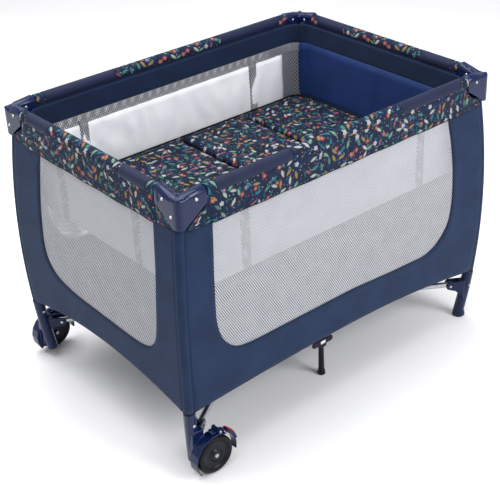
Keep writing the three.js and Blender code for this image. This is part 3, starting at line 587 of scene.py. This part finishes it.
class Side:
    """One side of the yard. a runs along it, and out points away from the yard."""

    def __init__(self, name, along, out, spans, ends, hem, window, home):
        self.name = name
        self.along = along
        self.out = out
        self.long = spans == "x"
        self.span_index = 0 if self.long else 1
        self.rail_out = LONG_RAIL_Y if self.long else SHORT_RAIL_X
        self.cap_arm = CAP_ARM[spans]
        self.ends = ends  # what its half rails' names end in, at the low and high end of a
        self.hem = hem  # (height at low end, at the middle, at high end)
        self.window = window
        self.home = home  # the body of the post at the low end of a
        self.flip = along.cross(Z).dot(out) < 0

    def span(self, z):
        """Half the distance between the side's two legs at a height."""
        return leg_at(z)[self.span_index]

    def wall(self, a, z, out=PANEL_OUT):
        return self.along * a + self.out * (leg_at(z)[1 - self.span_index] + out) + Z * z

    def rail(self, a, out, up):
        return self.along * a + self.out * (self.rail_out + out) + Z * (RAIL_Z + up)

    def hem_at(self, a):
        """Height of the arched lower edge."""
        low, middle, high = self.hem
        share = a / self.span(0.17)
        return middle + ((high if a > 0 else low) - middle) * share * share

    def inside(self, a, z, inset=0.004):
        return abs(a) <= self.span(z) - inset and self.hem_at(a) <= z <= PANEL_TOP

    def gather(self, piece):
        """The cloth rides on one post."""
        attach(piece, self.home)
        anchor = self.along * -self.span(LEG_BEND_Z)
        tuple(self.along)
        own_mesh(piece)
        return piece


LONG_WINDOW = [
    (-0.412, 0.698), (-0.412, 0.669), (-0.423, 0.543), (-0.427, 0.424), (-0.417, 0.371), (-0.395, 0.338),
    (-0.367, 0.316), (-0.323, 0.311), (0.020, 0.311), (0.143, 0.302), (0.298, 0.295), (0.341, 0.316),
    (0.381, 0.361), (0.391, 0.431), (0.390, 0.522), (0.382, 0.599), (0.370, 0.666), (0.369, 0.698),
]
SHORT_WINDOW = [
    (-0.268, 0.698), (-0.268, 0.670), (-0.276, 0.560), (-0.271, 0.437), (-0.264, 0.372), (-0.255, 0.345),
    (-0.219, 0.319), (-0.165, 0.314), (0.102, 0.323), (0.183, 0.340), (0.221, 0.377), (0.230, 0.421),
    (0.228, 0.520), (0.216, 0.670), (0.216, 0.698),
]
LONG_ENDS = ("left", "right")
SHORT_ENDS = ("near", "far")
LONG_HEM = (0.190, 0.205, 0.156)
SIDES = [
    Side("front", X, -Y, "x", LONG_ENDS, LONG_HEM, LONG_WINDOW, "near_left_post"),
    Side("back", X, Y, "x", LONG_ENDS, LONG_HEM, LONG_WINDOW, "far_left_post"),
    Side("left", Y, -X, "y", SHORT_ENDS, (0.188, 0.235, 0.188), SHORT_WINDOW, "near_left_post"),
    Side("right", Y, X, "y", SHORT_ENDS, (0.156, 0.205, 0.156), None, "near_right_post"),
]


def ruffle(a, z, strength):
    """Soft folds of taut cloth, a few millimetres deep at most."""
    broad = noise.noise(Vector((a * 4, z * 6, 1.3)))
    fine = noise.noise(Vector((a * 13, z * 9, 7.1)))
    return strength * (broad + 0.4 * fine)


def panel_cloth(side):
    """The panel from its window out to the legs, the hem and the rail."""
    loop = smooth_loop(side.window)
    centre = sum(loop, Vector((0, 0))) / len(loop)
    rings = 9

    def edge_towards(point):
        ray = point - centre
        low, high = 1.0, 6.0
        for _ in range(24):
            middle = (low + high) / 2
            spot = centre + ray * middle
            if side.inside(spot.x, spot.y):
                low = middle
            else:
                high = middle
        return centre + ray * low

    edges = [edge_towards(point) for point in loop]
    points = []
    uvs = []
    for ring in range(rings + 1):
        share = ring / rings
        calm = 4 * share * (1 - share)
        for inner, outer in zip(loop, edges):
            spot = inner.lerp(outer, share)
            out = PANEL_OUT - 0.001 - calm * abs(ruffle(*spot, 0.0022))
            points.append(side.wall(spot.x, spot.y, out))
            uvs.append(tuple(spot))
    faces = ring_faces(rings + 1, len(loop))
    piece = mesh_object(f"panel_cloth_{side.name}", points, faces, uvs, NAVY)
    return side.gather(thicken(piece, CLOTH_THICKNESS, 1.0 if side.flip else -1.0))


def solid_panel(side):
    """A panel with no window."""

    def place(s, t):
        a_share = 2 * s - 1
        hem = side.hem_at(a_share * side.span(0.2))
        z = hem + (PANEL_TOP - hem) * t
        a = a_share * (side.span(z) - 0.004)
        calm = (1 - a_share * a_share) * t * (1 - t) * 4
        return side.wall(a, z, PANEL_OUT - 0.001 - calm * abs(ruffle(a, z, 0.004)))

    piece = grid(f"panel_cloth_{side.name}", place, 60, 40, NAVY, (2 * side.span(0.4), 0.5))
    return side.gather(thicken(piece, CLOTH_THICKNESS, 1.0 if side.flip else -1.0))


def window_mesh(side):
    loop = smooth_loop(side.window)
    centre = sum(loop, Vector((0, 0))) / len(loop)
    rings = 10
    points = []
    uvs = []
    for ring in range(rings + 1):
        share = max(0.002, 1.015 * ring / rings)
        for edge in loop:
            spot = centre.lerp(edge, share)
            points.append(side.wall(spot.x, spot.y, PANEL_OUT - 0.0026))
            uvs.append(tuple(spot))
    faces = ring_faces(rings + 1, len(loop))
    piece = mesh_object(f"window_mesh_{side.name}", points, faces, uvs, GREY_MESH)
    return side.gather(piece)


def window_binding(side):
    path = [side.wall(p.x, p.y, PANEL_OUT - 0.0008) for p in smooth_loop(side.window)]
    return side.gather(tube(f"window_binding_{side.name}", path, 0.0013, BINDING, side.out, closed=True))


def hem_binding(side):
    steps = 60
    path = []
    for step in range(steps + 1):
        a = (2 * step / steps - 1) * (side.span(0.18) - 0.010)
        path.append(side.wall(a, side.hem_at(a), PANEL_OUT - 0.0016))
    return side.gather(tube(f"hem_binding_{side.name}", path, 0.0017, BINDING, side.out))


def side_panels():
    for side in SIDES:
        if side.window:
            panel = panel_cloth(side)
            mesh = window_mesh(side)
            trim = [window_binding(side), hem_binding(side)]
        else:
            panel = solid_panel(side)
            trim = [hem_binding(side)]
        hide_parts(f"side_panel_{side.name}")
        length = 2 * side.span(0.4)
        area = length * 0.52
        if side.window:
            area -= 0.29 if side.long else 0.17


def leg_sleeve(post, sx, sy, bottom):
    """The cloth tube round a leg."""
    height = SLEEVE_TOP - bottom
    radius = SLEEVE_RADIUS - 0.0004

    def place(s, t):
        z = bottom + height * t
        x, y = leg_at(z)
        angle = 2 * math.pi * s
        return Vector((sx * (x + radius * math.cos(angle)), sy * (y + radius * math.sin(angle)), z))

    piece = grid(f"leg_sleeve_{post}", place, 28, 26, NAVY, (SLEEVE_WIDTH, height), closed=True)
    thicken(piece, CLOTH_THICKNESS, -1.0 if sx * sy > 0 else 1.0)
    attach(piece, f"{post}_post")


def leg_sleeves():
    for end, sx in (("left", -1), ("right", 1)):
        for depth, sy in (("near", -1), ("far", 1)):
            leg_sleeve(f"{depth}_{end}", sx, sy, SLEEVE_LOW[end])


# ---------------------------------------------------------------- rail covers


def arch(share, radius):
    """A point of a cover's section, from its outer low edge over the rail to the inner one."""
    straight = WRAP_SIDE
    curve = math.pi * radius
    along = share * (2 * straight + curve)
    if along < straight:
        return radius, along - straight
    if along > straight + curve:
        return -radius, straight + curve - along
    angle = (along - straight) / radius
    return radius * math.cos(angle), radius * math.sin(angle)


def wrap(side, name, low, high, body, material, radius=WRAP_RADIUS):
    """A length of cover over the rail, between two places along it."""
    steps = max(4, int(abs(high - low) / 0.008))
    swell = WRAP_TOP - RAIL_Z - radius

    def place(s, t):
        a = low + (high - low) * t
        out, up = arch(s, radius)
        puff = 0.0006 * noise.noise(Vector((a * 40, out * 90, up * 90)))
        return side.rail(a, out * (1 + puff * 20), up + swell)

    piece = grid(name, place, 20, steps, material, (WRAP_WIDTH, high - low))
    inward = side.flip != (high < low)
    thicken(piece, CLOTH_THICKNESS, 1.0 if inward else -1.0)
    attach(piece, body)
    return piece


def skirt(side, name, low, high, body, out, bottom, material, tuck):
    """Cloth that hangs from the cover; tuck draws its far end in behind the cap."""
    steps = max(8, int(abs(high - low) / 0.006))

    def place(s, t):
        a = low + (high - low) * t
        past_arm = abs(a) - side.cap_arm
        end = smoothstep((past_arm + TUCK_LENGTH) / TUCK_LENGTH) * tuck
        top = SKIRT_TOP
        if tuck and past_arm > 0:
            top = SKIRT_TOP - 0.026 - 0.68 * past_arm
        sag = ruffle(a, 0.3, 0.0012)
        z = top + (bottom + sag - top) * s
        sway = 0.0010 * s * math.sin(a * 46 + 1.3) * (1 - end)
        reach = out + sway * math.copysign(1, out) - end * 0.0042
        return side.along * a + side.out * (side.rail_out + reach) + Z * z

    height = SKIRT_TOP - bottom
    piece = grid(name, place, 10, steps, material, (height, high - low))
    thicken(piece, THIN_CLOTH, 0.0)
    edge = [place(1.0, step / steps) for step in range(steps + 1)]
    hem = tube(f"{name}_hem", edge, 0.0012, BLACK_PIPING, side.out)
    for part in (piece, hem):
        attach(part, body)
        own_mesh(part)


def rail_cover(side):
    """Padded cover in lengths that part at the latch, so that it folds with the rail."""
    middle = 0.040
    print_end = 0.180 if side.long else 0.150
    pad_end = side.cap_arm - 0.026
    cap_end = side.cap_arm - 0.001
    hidden_end = leg_at(LEG_BEND_Z)[side.span_index] - 0.012
    gap = 0.0005  # half the slit between the two hanging lengths
    pad_radius = WRAP_RADIUS + 0.0004
    centre = wrap(side, f"cover_{side.name}_middle", -middle, middle, f"latch_{side.name}", PRINT)
    for sign, end in zip((-1, 1), side.ends):
        tag = f"{side.name}_{end}"
        body = f"rail_{tag}"
        start = sign * gap
        wrap(side, f"cover_{tag}_print", sign * middle, sign * print_end, body, PRINT)
        wrap(side, f"cover_{tag}_pad", sign * print_end, sign * pad_end, body, NAVY_PAD, pad_radius)
        wrap(side, f"cover_{tag}_tip", sign * pad_end, sign * cap_end, body, PRINT)
        skirt(side, f"skirt_{tag}", start, sign * hidden_end, body, 0.0142, BAND_LOW, PRINT, True)
        skirt(side, f"inner_band_{tag}", start, sign * cap_end, body, -0.0138, 0.708, NAVY_DEEP, False)
    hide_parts(f"rail_cover_{side.name}")


# ---------------------------------------------------------------- bassinet and mattress


def bassinet_wall(side):
    """One wall of the bassinet: a border at the rail, a mesh strip and a panel."""
    reach = BASSINET["x"] if side.long else BASSINET["y"]
    place_out = (BASSINET["y"] if side.long else BASSINET["x"]) - 0.0012
    corner = BASSINET["corner"]
    straight = reach - corner

    def spot(a, z, lift):
        turn = max(0.0, abs(a) - straight)
        return side.along * a + side.out * (place_out - turn - lift) + Z * z

    def strip(name, low, high, bottom, top, material, lift=0.0, folds=0.0, thick=0.0008):
        def place(s, t):
            a = low + (high - low) * s
            z = bottom + (top - bottom) * t
            push = folds * (1.2 + math.sin(a * 95 + z * 30 + 6 * noise.noise(Vector((a * 9, z * 7, 2)))))
            return spot(a, z, lift + push * 4 * t * (1 - t))

        steps = max(2, int((high - low) / 0.012))
        piece = grid(name, place, steps, 8, material, (high - low, top - bottom))
        thicken(piece, thick, 0.0)
        return side.gather(piece)

    tag = f"bassinet_{side.name}"
    low_z, top_z = BASSINET["low"] + 0.001, BASSINET["top"]
    end = reach - corner / 2
    border = strip(f"{tag}_border", -end, end, 0.682, top_z, NAVY_DEEP)
    if side.window is None:
        strip(f"{tag}_panel", -end, end, low_z, 0.684, NAVY_BLUE, 0.0, 0.0006)
        return border
    strip(f"{tag}_mesh", -end, end, 0.656, 0.684, DARK_MESH, 0.0004)
    inner = end - 0.055
    strip(f"{tag}_panel", -end + 0.012, inner, low_z, 0.660, WHITE, 0.0, 0.0028)
    strip(f"{tag}_end", inner, end, low_z, 0.684, DARK_MESH, 0.0002)
    width, lift, thick = 0.026, 0.0014, 0.0056
    for letter, start in zip("ab", (-0.315, 0.275) if side.long else (-0.16, 0.16)):
        name = f"{tag}_strap_{letter}"
        strip(name, start, start + width, low_z, 0.668, DARK_MESH, lift, 0.0, thick)
    return border


def bassinet():
    """Four walls, and a base in three strips, each riding on its own body."""
    border = [bassinet_wall(side) for side in SIDES][0]
    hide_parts("bassinet")
    low = BASSINET["low"] + 0.0006
    for name, near, far, body in (
        ("near", -0.333, -STRIP_EDGE_Y, "near_left_post"),
        ("middle", -STRIP_EDGE_Y, STRIP_EDGE_Y, "latch_left"),
        ("far", STRIP_EDGE_Y, 0.333, "far_left_post"),
    ):

        def place(s, t, near=near, far=far):
            y = near + (far - near) * t
            reach = BASSINET["x"] - 0.002 - max(0.0, abs(y) - BASSINET["y"] + BASSINET["corner"])
            return Vector(((2 * s - 1) * reach, y, low))

        piece = grid(f"bassinet_base_{name}", place, 40, 8, NAVY_DEEP, (0.94, far - near))
        thicken(piece, THIN_CLOTH, 0.0)
        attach(piece, body)
        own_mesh(piece)


def floor_sheet():
    """The play yard's own floor, in three strips, each riding on its own body."""
    for name, near, far, body, keep, anchor in (
        ("near", -0.345, -STRIP_EDGE_Y, "near_left_post", SHRINK_X, -LEG_TOP[0]),
        ("middle", -STRIP_EDGE_Y, STRIP_EDGE_Y, "base_hub", 0.07, 0.0),
        ("far", STRIP_EDGE_Y, 0.345, "far_left_post", SHRINK_X, -LEG_TOP[0]),
    ):

        def place(s, t, near=near, far=far):
            y = near + (far - near) * t
            reach = 0.510 - max(0.0, abs(y) - 0.315)
            x = (2 * s - 1) * reach
            return Vector((x, y, FLOOR_SHEET_Z + ruffle(x, y, 0.0015)))

        piece = grid(f"floor_sheet_{name}", place, 60, 12, NAVY_DEEP, (1.02, far - near))
        thicken(piece, THIN_CLOTH, 0.0)
        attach(piece, body)
        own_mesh(piece)
        if name == "middle":
            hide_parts("floor_panel")


def mattress_pad(number):
    """A padded board in a quilted cover, with piping along the mattress's outer edges."""
    length, seam, half, corner = 0.233, 0.002, 0.328, 0.034
    start = -(4 * length + 3 * seam) / 2 + (number - 1) * (length + seam)
    end = start + length
    across, along = 30, 80
    low, top = MATTRESS_LOW + 0.0004, MATTRESS_TOP + 0.0005

    def outline(s, t):
        y = (2 * t - 1) * half
        cut = max(0.0, abs(y) - (half - corner))
        left = start + (cut if number == 1 else 0.0)
        right = end - (cut if number == 4 else 0.0)
        return Vector((left + (right - left) * s, y, 0))

    def soft(value, margin):
        edge = min(value, 1 - value) / margin
        return math.sqrt(1 - (1 - min(1.0, edge)) ** 2)

    def surface(s, t, sign):
        spot = outline(s, t)
        puff = soft(s, 0.015) * soft(t, 0.010)
        middle = (low + top) / 2
        quilt = 0.0016 * noise.noise(Vector((spot.x * 16, spot.y * 16, 4.0)))
        quilt += 0.0012 * noise.noise(Vector((spot.x * 45, spot.y * 38, 9.0)))
        lift = (top - middle) * puff
        if sign > 0:
            lift += (quilt - 0.0012) * puff
        return Vector((spot.x, spot.y, middle + sign * lift))

    points = []
    uvs = []
    faces = []
    for sign in (1, -1):
        for row in range(along + 1):
            for column in range(across + 1):
                spot = surface(column / across, row / along, sign)
                points.append(spot)
                uvs.append((spot.x, spot.y))
    sheet_size = (across + 1) * (along + 1)
    for row in range(along):
        for column in range(across):
            first = row * (across + 1) + column
            second = first + across + 1
            faces.append((first, first + 1, second + 1, second))
            lower = (first, second, second + 1, first + 1)
            faces.append(tuple(sheet_size + k for k in lower))
    piece = mesh_object(f"mattress_{number}", points, faces, uvs, MATTRESS_PRINT)
    weld = piece.modifiers.new("weld", "WELD")
    weld.merge_threshold = 0.0001
    apply_modifiers(piece)
    inflate(piece, 0.0025, MATTRESS_LOW, MATTRESS_TOP + 0.004)
    body = f"mattress_pad_{number}"
    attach(piece, body)
    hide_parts(body)

    short_steps, long_steps = 20, 40
    near = [outline(s / short_steps, 0) for s in range(short_steps + 1)]
    far = [outline(s / short_steps, 1) for s in range(short_steps + 1)]
    edges = [near, far]
    if number == 1:
        edges = [near[::-1] + [outline(0, t / long_steps) for t in range(1, long_steps)] + far]
    if number == 4:
        edges = [near + [outline(1, t / long_steps) for t in range(1, long_steps)] + far[::-1]]
    inset = 0.0035
    height = MATTRESS_TOP - 0.002
    for count, edge in enumerate(edges):
        path = []
        for spot in edge:
            x = min(end - inset, max(start + inset, spot.x))
            y = min(half - inset, max(inset - half, spot.y))
            path.append(Vector((x, y, height)))
        piping = tube(f"mattress_piping_{number}_{count}", path, 0.0026, BLACK_PIPING, Z)
        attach(piping, body)


# ---------------------------------------------------------------- mouldings, wheels and metal


def moulded(node, material, voxel=0.0016, rounds=7):
    """The CAD piece with its edges softened, as a moulding's are."""
    source = frame["nodes"][node]
    graph = bpy.context.evaluated_depsgraph_get()
    mesh = bpy.data.meshes.new_from_object(source.evaluated_get(graph))
    mesh.transform(source.matrix_world)
    mesh.materials.clear()
    mesh.materials.append(material)
    piece = bpy.data.objects.new(f"{node}_moulding", mesh)
    bpy.context.scene.collection.objects.link(piece)
    remesh = piece.modifiers.new("remesh", "REMESH")
    remesh.mode = "VOXEL"
    remesh.voxel_size = voxel
    remesh.use_smooth_shade = True
    relax = piece.modifiers.new("relax", "SMOOTH")
    relax.factor = 0.5
    relax.iterations = rounds
    fewer = piece.modifiers.new("fewer", "DECIMATE")
    fewer.ratio = 0.3
    apply_modifiers(piece)
    piece.data.shade_smooth()
    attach(piece, body_holding(node))
    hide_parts(node)
    return piece


def saddle(piece):
    """Draws the top of a corner cap down between its two domed arms."""
    column = Vector((LEG_TOP[0], LEG_TOP[1]))
    for vertex in piece.data.vertices:
        spot = Vector((abs(vertex.co.x), abs(vertex.co.y)))
        reach = column - spot
        along = max(reach.x, reach.y, 0.0)
        across = abs(spot.y - LONG_RAIL_Y) if reach.x > reach.y else abs(spot.x - SHORT_RAIL_X)
        weight = smoothstep((vertex.co.z - RAIL_Z + 0.004) / 0.030)
        dip = CAP_DIP * (1 - smoothstep(along / CAP_DIP_REACH))
        end = max(0.0, along - 0.046) / 0.016
        crown = CAP_CROWN * min(1.0, across / CAP_HALF_WIDTH) ** 2
        vertex.co.z -= weight * (dip + crown + 0.007 * min(1.0, end) ** 2)


def mouldings():
    for post in ("near_left", "near_right", "far_right", "far_left"):
        saddle(moulded(f"corner_cap_{post}", NAVY_GLOSS, 0.0016, 16))
    for post in ("near_left", "far_left"):
        moulded(f"wheel_bracket_{post}", NAVY_GLOSS, 0.0013, 4)
    for post in ("near_right", "far_right"):
        moulded(f"corner_foot_{post}", NAVY_SATIN)
    for side in ("near", "far"):
        moulded(f"brake_lever_{side}", NAVY_GLOSS, 0.0011, 4)
    for side in ("front", "back"):
        moulded(f"mid_foot_{side}", DARK_PLASTIC, 0.0013, 4)
    moulded("base_hub", NAVY_SATIN)


def brake_tab(side):
    """The coloured press pad on a brake lever, set just clear of its outer surface."""
    x, _, z = WHEEL_CENTRE
    lever = frame["nodes"][f"brake_lever_{side}"]
    offsets = [lever.matrix_world @ vertex.co - Vector((x, 0, z)) for vertex in lever.data.vertices]
    start, end = math.radians(54), math.radians(22)
    nearby = [o for o in offsets if end < math.atan2(o.z, o.x) < start]
    radius = max(math.hypot(o.x, o.z) for o in nearby) + 0.0008
    middle = (min(o.y for o in nearby) + max(o.y for o in nearby)) / 2

    def place(s, t):
        angle = start + (end - start) * t
        crown = 0.0012 * (1 - (2 * s - 1) ** 2) * (1 - (2 * t - 1) ** 4)
        reach = radius + crown
        return Vector((x + reach * math.cos(angle), middle + (s - 0.5) * 0.013, z + reach * math.sin(angle)))

    piece = grid(f"brake_tab_{side}", place, 8, 14, RED_PLASTIC, (0.013, radius * (start - end)))
    thicken(piece, 0.0018, 0.0)
    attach(piece, f"brake_lever_{side}")


def foot_label():
    """A small blank label between the screws of the front middle foot."""

    def place(s, t):
        return Vector(((s - 0.5) * 0.017, -0.2686 - 0.0002 * math.sin(math.pi * s), 0.1025 + 0.0095 * t))

    piece = grid("foot_label", place, 6, 4, LABEL, (0.017, 0.0095))
    thicken(piece, 0.0003, 0.0)
    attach(piece, "mid_foot_front")


def paint(node, material):
    """A CAD piece that keeps its shape gets a finished material and smooth round faces."""
    piece = frame["nodes"][node]
    piece.data.materials.clear()
    piece.data.materials.append(material)
    piece.data.shade_smooth()
    weld = piece.modifiers.new("weld", "WELD")
    weld.merge_threshold = 0.00005
    edges = piece.modifiers.new("edges", "EDGE_SPLIT")
    edges.split_angle = math.radians(38)


def metal_parts():
    """Steel for the frame's tubes, latches, arms and pins; the buttons are plastic."""
    metal = ("leg_tube", "rail_", "latch_", "base_tube", "mid_arm", "axle", "brake_pin")
    for node in frame["nodes"]:
        if node.startswith(metal) and not node.startswith("rail_cover"):
            paint(node, DARK_PLASTIC if node.startswith("latch_button") else STEEL)


def wheel(side, sign):
    """Moulded wheel: a tread, and on each side a recessed disc with a hub."""
    x, y, z = WHEEL_CENTRE
    centre = Vector((x, sign * y, z))
    half = 0.0118
    tyre = [
        (0.0385, -half + 0.001), (0.044, -half), (0.0485, -half + 0.001), (WHEEL_RADIUS, -half + 0.0045),
        (WHEEL_RADIUS, half - 0.0045), (0.0485, half - 0.001), (0.044, half), (0.0385, half - 0.001),
    ]
    disc = [
        (0.0046, half), (0.0125, half), (0.0142, half - 0.001), (0.0165, half - 0.006), (0.034, half - 0.006),
        (0.0375, half - 0.003), (0.0387, half - 0.0008),
    ]
    inner = [(r, -along) for r, along in reversed(disc)]
    tread = lathe(f"wheel_tread_{side}", tyre, centre, Y * sign, BLACK_RUBBER)
    body = f"wheel_{side}"
    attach(tread, body)
    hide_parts(body)
    rim = lathe(f"wheel_disc_{side}", disc, centre, Y * sign, DARK_PLASTIC)
    rear = lathe(f"wheel_back_{side}", inner, centre, Y * sign, DARK_PLASTIC)
    for piece in (rim, rear):
        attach(piece, body)


def pull_strap():
    """Webbing loop that lifts the hub."""
    bottom, straight, radius, half = 0.2356, 0.0158, 0.0165, 0.0118
    width = 0.024
    curve = math.pi * radius
    total = 2 * straight + curve

    def place(s, t):
        along = t * total
        if along < straight:
            spot = (radius, along)
        elif along > straight + curve:
            spot = (-radius, total - along)
        else:
            angle = (along - straight) / radius
            spot = (radius * math.cos(angle), straight + radius * math.sin(angle))
        return Vector((spot[0], (2 * s - 1) * half, bottom + spot[1]))

    piece = grid("pull_loop", place, 6, 40, RED, (width, total))
    thicken(piece, 0.0022, 0.0)
    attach(piece, "base_hub")
    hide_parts("pull_strap")


# ---------------------------------------------------------------- studio


def camera():
    """The photographer's view of the near left corner."""
    azimuth, elevation, roll = (math.radians(v) for v in (-39.47, 29.62, -2.42))
    distance = 3.1334
    target = Vector((-0.0113, -0.0319, 0.3440))
    flat = math.cos(elevation)
    back = Vector((math.sin(azimuth) * flat, -math.cos(azimuth) * flat, math.sin(elevation)))
    level = (-back).cross(Z).normalized()
    upright = level.cross(-back)
    right = level * math.cos(roll) + upright * math.sin(roll)
    up = upright * math.cos(roll) - level * math.sin(roll)
    data = bpy.data.cameras.new("camera")
    data.sensor_width = 36
    data.lens = 82.75
    data.shift_x = -0.0192
    data.shift_y = -0.0128
    made = bpy.data.objects.new("camera", data)
    turn = Matrix((right, up, back)).transposed().to_4x4()
    made.matrix_world = Matrix.Translation(target + back * distance) @ turn
    bpy.context.scene.collection.objects.link(made)
    bpy.context.scene.camera = made


def light(name, spot, aim, size, power):
    data = bpy.data.lights.new(name, "AREA")
    data.size = size
    data.energy = power
    made = bpy.data.objects.new(name, data)
    made.location = spot
    made.rotation_euler = (Vector(aim) - Vector(spot)).to_track_quat("-Z", "Y").to_euler()
    bpy.context.scene.collection.objects.link(made)


def studio():
    half = 12.0
    floor = grid(
        "studio_floor",
        lambda s, t: Vector(((2 * s - 1) * half, (2 * t - 1) * half, -0.0004)),
        4, 4, FLOOR_PAPER, (2 * half, 2 * half),
    )
    floor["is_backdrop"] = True
    world = bpy.data.worlds.new("studio")
    world.use_nodes = True
    sky = world.node_tree.nodes["Background"].inputs
    sky["Color"].default_value = (1.0, 1.0, 1.0, 1.0)
    sky["Strength"].default_value = 0.62
    bpy.context.scene.world = world
    bpy.context.scene.view_settings.view_transform = "Standard"
    light("key", (0.9, -3.0, 2.2), (0.0, 0.0, 0.35), 1.6, 75)
    light("top", (-0.4, 0.6, 3.2), (0.0, 0.0, 0.3), 3.4, 135)


# ---------------------------------------------------------------- assembly

camera()
studio()
side_panels()
leg_sleeves()
for yard_side in SIDES:
    rail_cover(yard_side)
bassinet()
floor_sheet()
for pad_number in (1, 2, 3, 4):
    mattress_pad(pad_number)
mouldings()
metal_parts()
for wheel_side, wheel_sign in (("near", -1), ("far", 1)):
    wheel(wheel_side, wheel_sign)
for wheel_side in ("near", "far"):
    brake_tab(wheel_side)
foot_label()
pull_strap()

[[list(corner) for corner in box] for box in (cad_bounds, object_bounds())]
